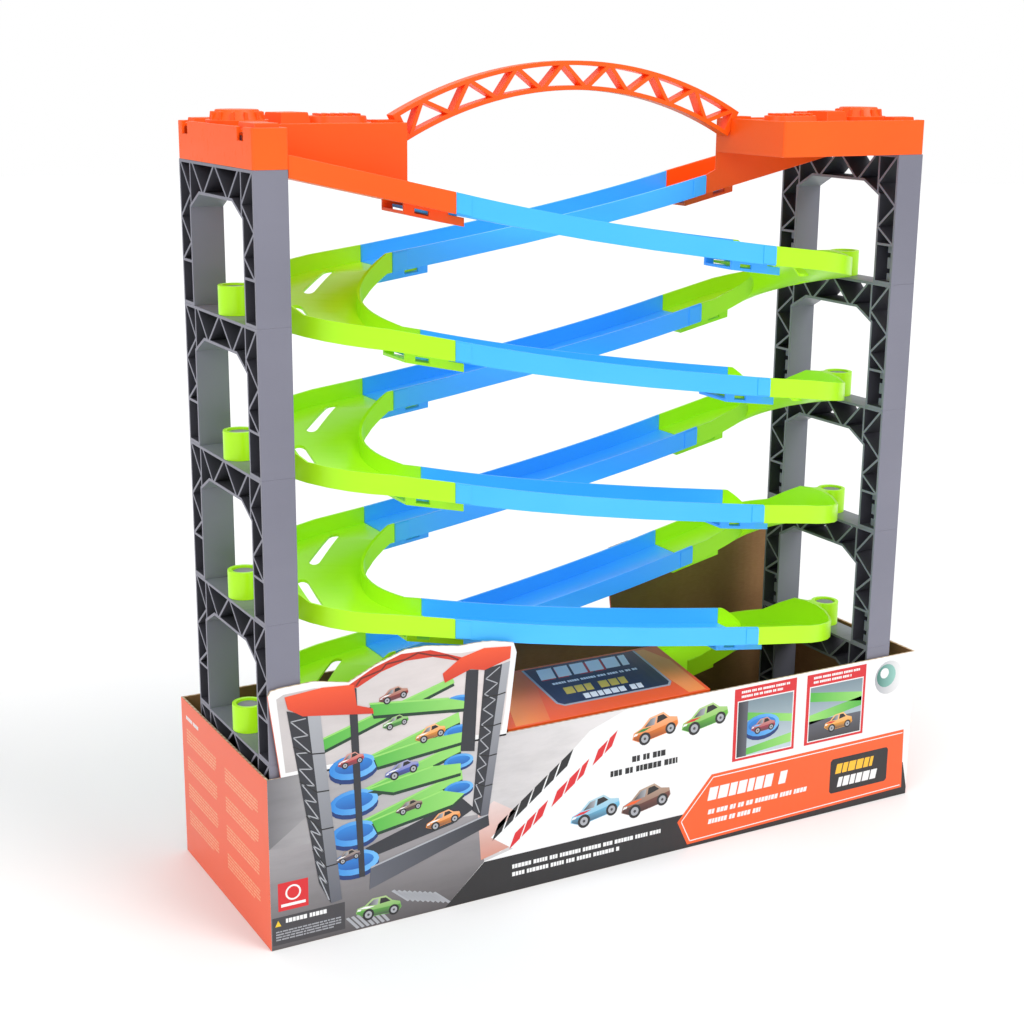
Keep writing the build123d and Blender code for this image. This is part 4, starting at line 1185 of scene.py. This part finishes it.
def car_lamp_shape():
    """Head lamps and tail lamps."""
    shape = bmesh.new()
    for side in (-1, 1):
        softened_box(shape, (31.6, side * 8.6 - 2.4, 7.3), (35.3, side * 8.6 + 2.4, 9.1), (0.7, 0.9), 0.4)
        softened_box(shape, (-35.6, side * 8.8 - 2.6, 8.2), (-34.0, side * 8.8 + 2.6, 10.0), (0.9, 0.9), 0.3)
    return shape


TYRE_LINE = (
    (3.5, 2.35), (4.9, 2.5), (5.45, 2.1), (5.6, 1.6), (5.6, -1.6), (5.45, -2.1), (4.9, -2.5), (3.5, -2.35),
)
WHEEL_Y = 12.0


def tyre_shape(shape, x, y):
    """One tyre, spun from its half section about the axle."""
    ring = [
        shape.verts.new((x * MM, (y + across) * MM, (WHEEL_RADIUS + radius) * MM))
        for radius, across in TYRE_LINE
    ]
    edges = [shape.edges.new(pair) for pair in zip(ring, ring[1:] + ring[:1])]
    bmesh.ops.spin(shape, geom=ring + edges, cent=(x * MM, y * MM, WHEEL_RADIUS * MM), axis=(0, 1, 0),
                   angle=2 * pi, steps=40, use_merge=True)


def rim_shape(shape, x, y, side):
    """One dished rim with five spokes."""
    start = Matrix.Translation((x * MM, (y + side * 2.2) * MM, WHEEL_RADIUS * MM))
    facing = start @ Matrix.Rotation(radians(-90 * side), 4, "X")
    made = bmesh.ops.create_cone(shape, cap_ends=True, cap_tris=True, segments=20, radius1=3.7 * MM,
                                 radius2=3.7 * MM, depth=0.9 * MM, matrix=facing)["verts"]
    outward = [
        face for face in {face for vert in made for face in vert.link_faces} if face.normal.y * side > 0.9
    ]
    outward.sort(key=lambda face: atan2(face.calc_center_median().z - WHEEL_RADIUS * MM,
                                        face.calc_center_median().x - x * MM))
    gaps = [face for number, face in enumerate(outward) if number % 4 in (1, 2)]
    bmesh.ops.inset_individual(shape, faces=gaps, thickness=0.28 * MM, depth=-0.7 * MM)
    hub = start @ Matrix.Translation((0, side * 0.5 * MM, 0)) @ Matrix.Rotation(radians(90), 4, "X")
    bmesh.ops.create_cone(shape, cap_ends=True, segments=16, radius1=0.95 * MM, radius2=0.95 * MM,
                          depth=0.8 * MM, matrix=hub)


def publish_car(label, paint):
    """Build one car at its own place, nose the way its CAD node's is."""
    low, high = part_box(label + "_body")
    middle = (low + high) / 2
    nose = 1 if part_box(label + "_front_axle")[0].x > middle.x else -1
    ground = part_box(label + "_front_wheels")[0].z
    spot = Matrix.Translation((middle.x, middle.y, ground))
    if nose < 0:
        spot = spot @ Matrix.Rotation(radians(180), 4, "Z")

    def settled(name, shape, finish, body, node_names, edge=0.0):
        bmesh.ops.recalc_face_normals(shape, faces=shape.faces)
        bmesh.ops.transform(shape, matrix=spot, verts=shape.verts)
        smooth_but_sharp(shape)
        piece = publish(f"{label}_{name}", shape, [finish], body, node_names)
        return soften(piece, edge) if edge else piece

    settled("shell", car_body_shape(), paint, label, [label + "_body"])
    settled("glasshouse", car_window_shape(), window_finish, label, [label + "_windows"])
    settled("lamps", car_lamp_shape(), lamp_plastic, label, [])
    moulding(label + "_chassis", base_plastic, 0.25, label)
    for end, x in (("front", WELLS[1]), ("rear", WELLS[0])):
        body = f"{label}_{end}_wheelset"
        tyres = bmesh.new()
        rims = bmesh.new()
        for side in (-1, 1):
            tyre_shape(tyres, x, side * WHEEL_Y)
            rim_shape(rims, x, side * WHEEL_Y, side)
        settled(end + "_tyres", tyres, tyre_finish, body, [f"{label}_{end}_wheels"], 0.12)
        settled(end + "_rims", rims, rim_finish, body, [], 0.08)
        moulding(f"{label}_{end}_axle", axle_finish, 0.15, body)
    print(label, "nose", nose, "at", [round(value, 3) for value in spot.translation])


CAR_COLOURS = (
    ("red_cast_paint", tint(206, 40, 26), WHITE),
    ("green_cast_paint", tint(60, 160, 60), tint(250, 210, 40)),
)
for number, (paint_name, colour, stripe) in enumerate(CAR_COLOURS, 1):
    low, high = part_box(f"car_{number}_body")
    middle = (low + high) / 2
    paint = cast_paint(paint_name, colour, stripe, middle.x, middle.y)
    publish_car(f"car_{number}", paint)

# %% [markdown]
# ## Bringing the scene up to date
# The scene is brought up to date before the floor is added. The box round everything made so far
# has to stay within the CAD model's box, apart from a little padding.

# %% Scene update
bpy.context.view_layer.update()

# %% [markdown]
# ## Floor
# The floor is one wide disc of matt white paper. It isn't part of the set.

# %% Floor
FLOOR_RADIUS = 6.0
floor_shape = bmesh.new()
bmesh.ops.create_circle(floor_shape, cap_ends=True, segments=64, radius=FLOOR_RADIUS)
floor_mesh = bpy.data.meshes.new("floor")
floor_shape.to_mesh(floor_mesh)
floor_shape.free()
floor = bpy.data.objects.new("floor", floor_mesh)
scene.collection.objects.link(floor)
floor_finish = Finish("floor_paper")
floor_finish.fill(floor_finish.surface, {
    "Base Color": floor_finish.blend(
        floor_finish.grain(3, 2.0) * 0.3, (0.9, 0.9, 0.9, 1), (0.86, 0.86, 0.87, 1),
    ),
    "Roughness": 0.9,
})
floor_mesh.materials.append(floor_finish.material)
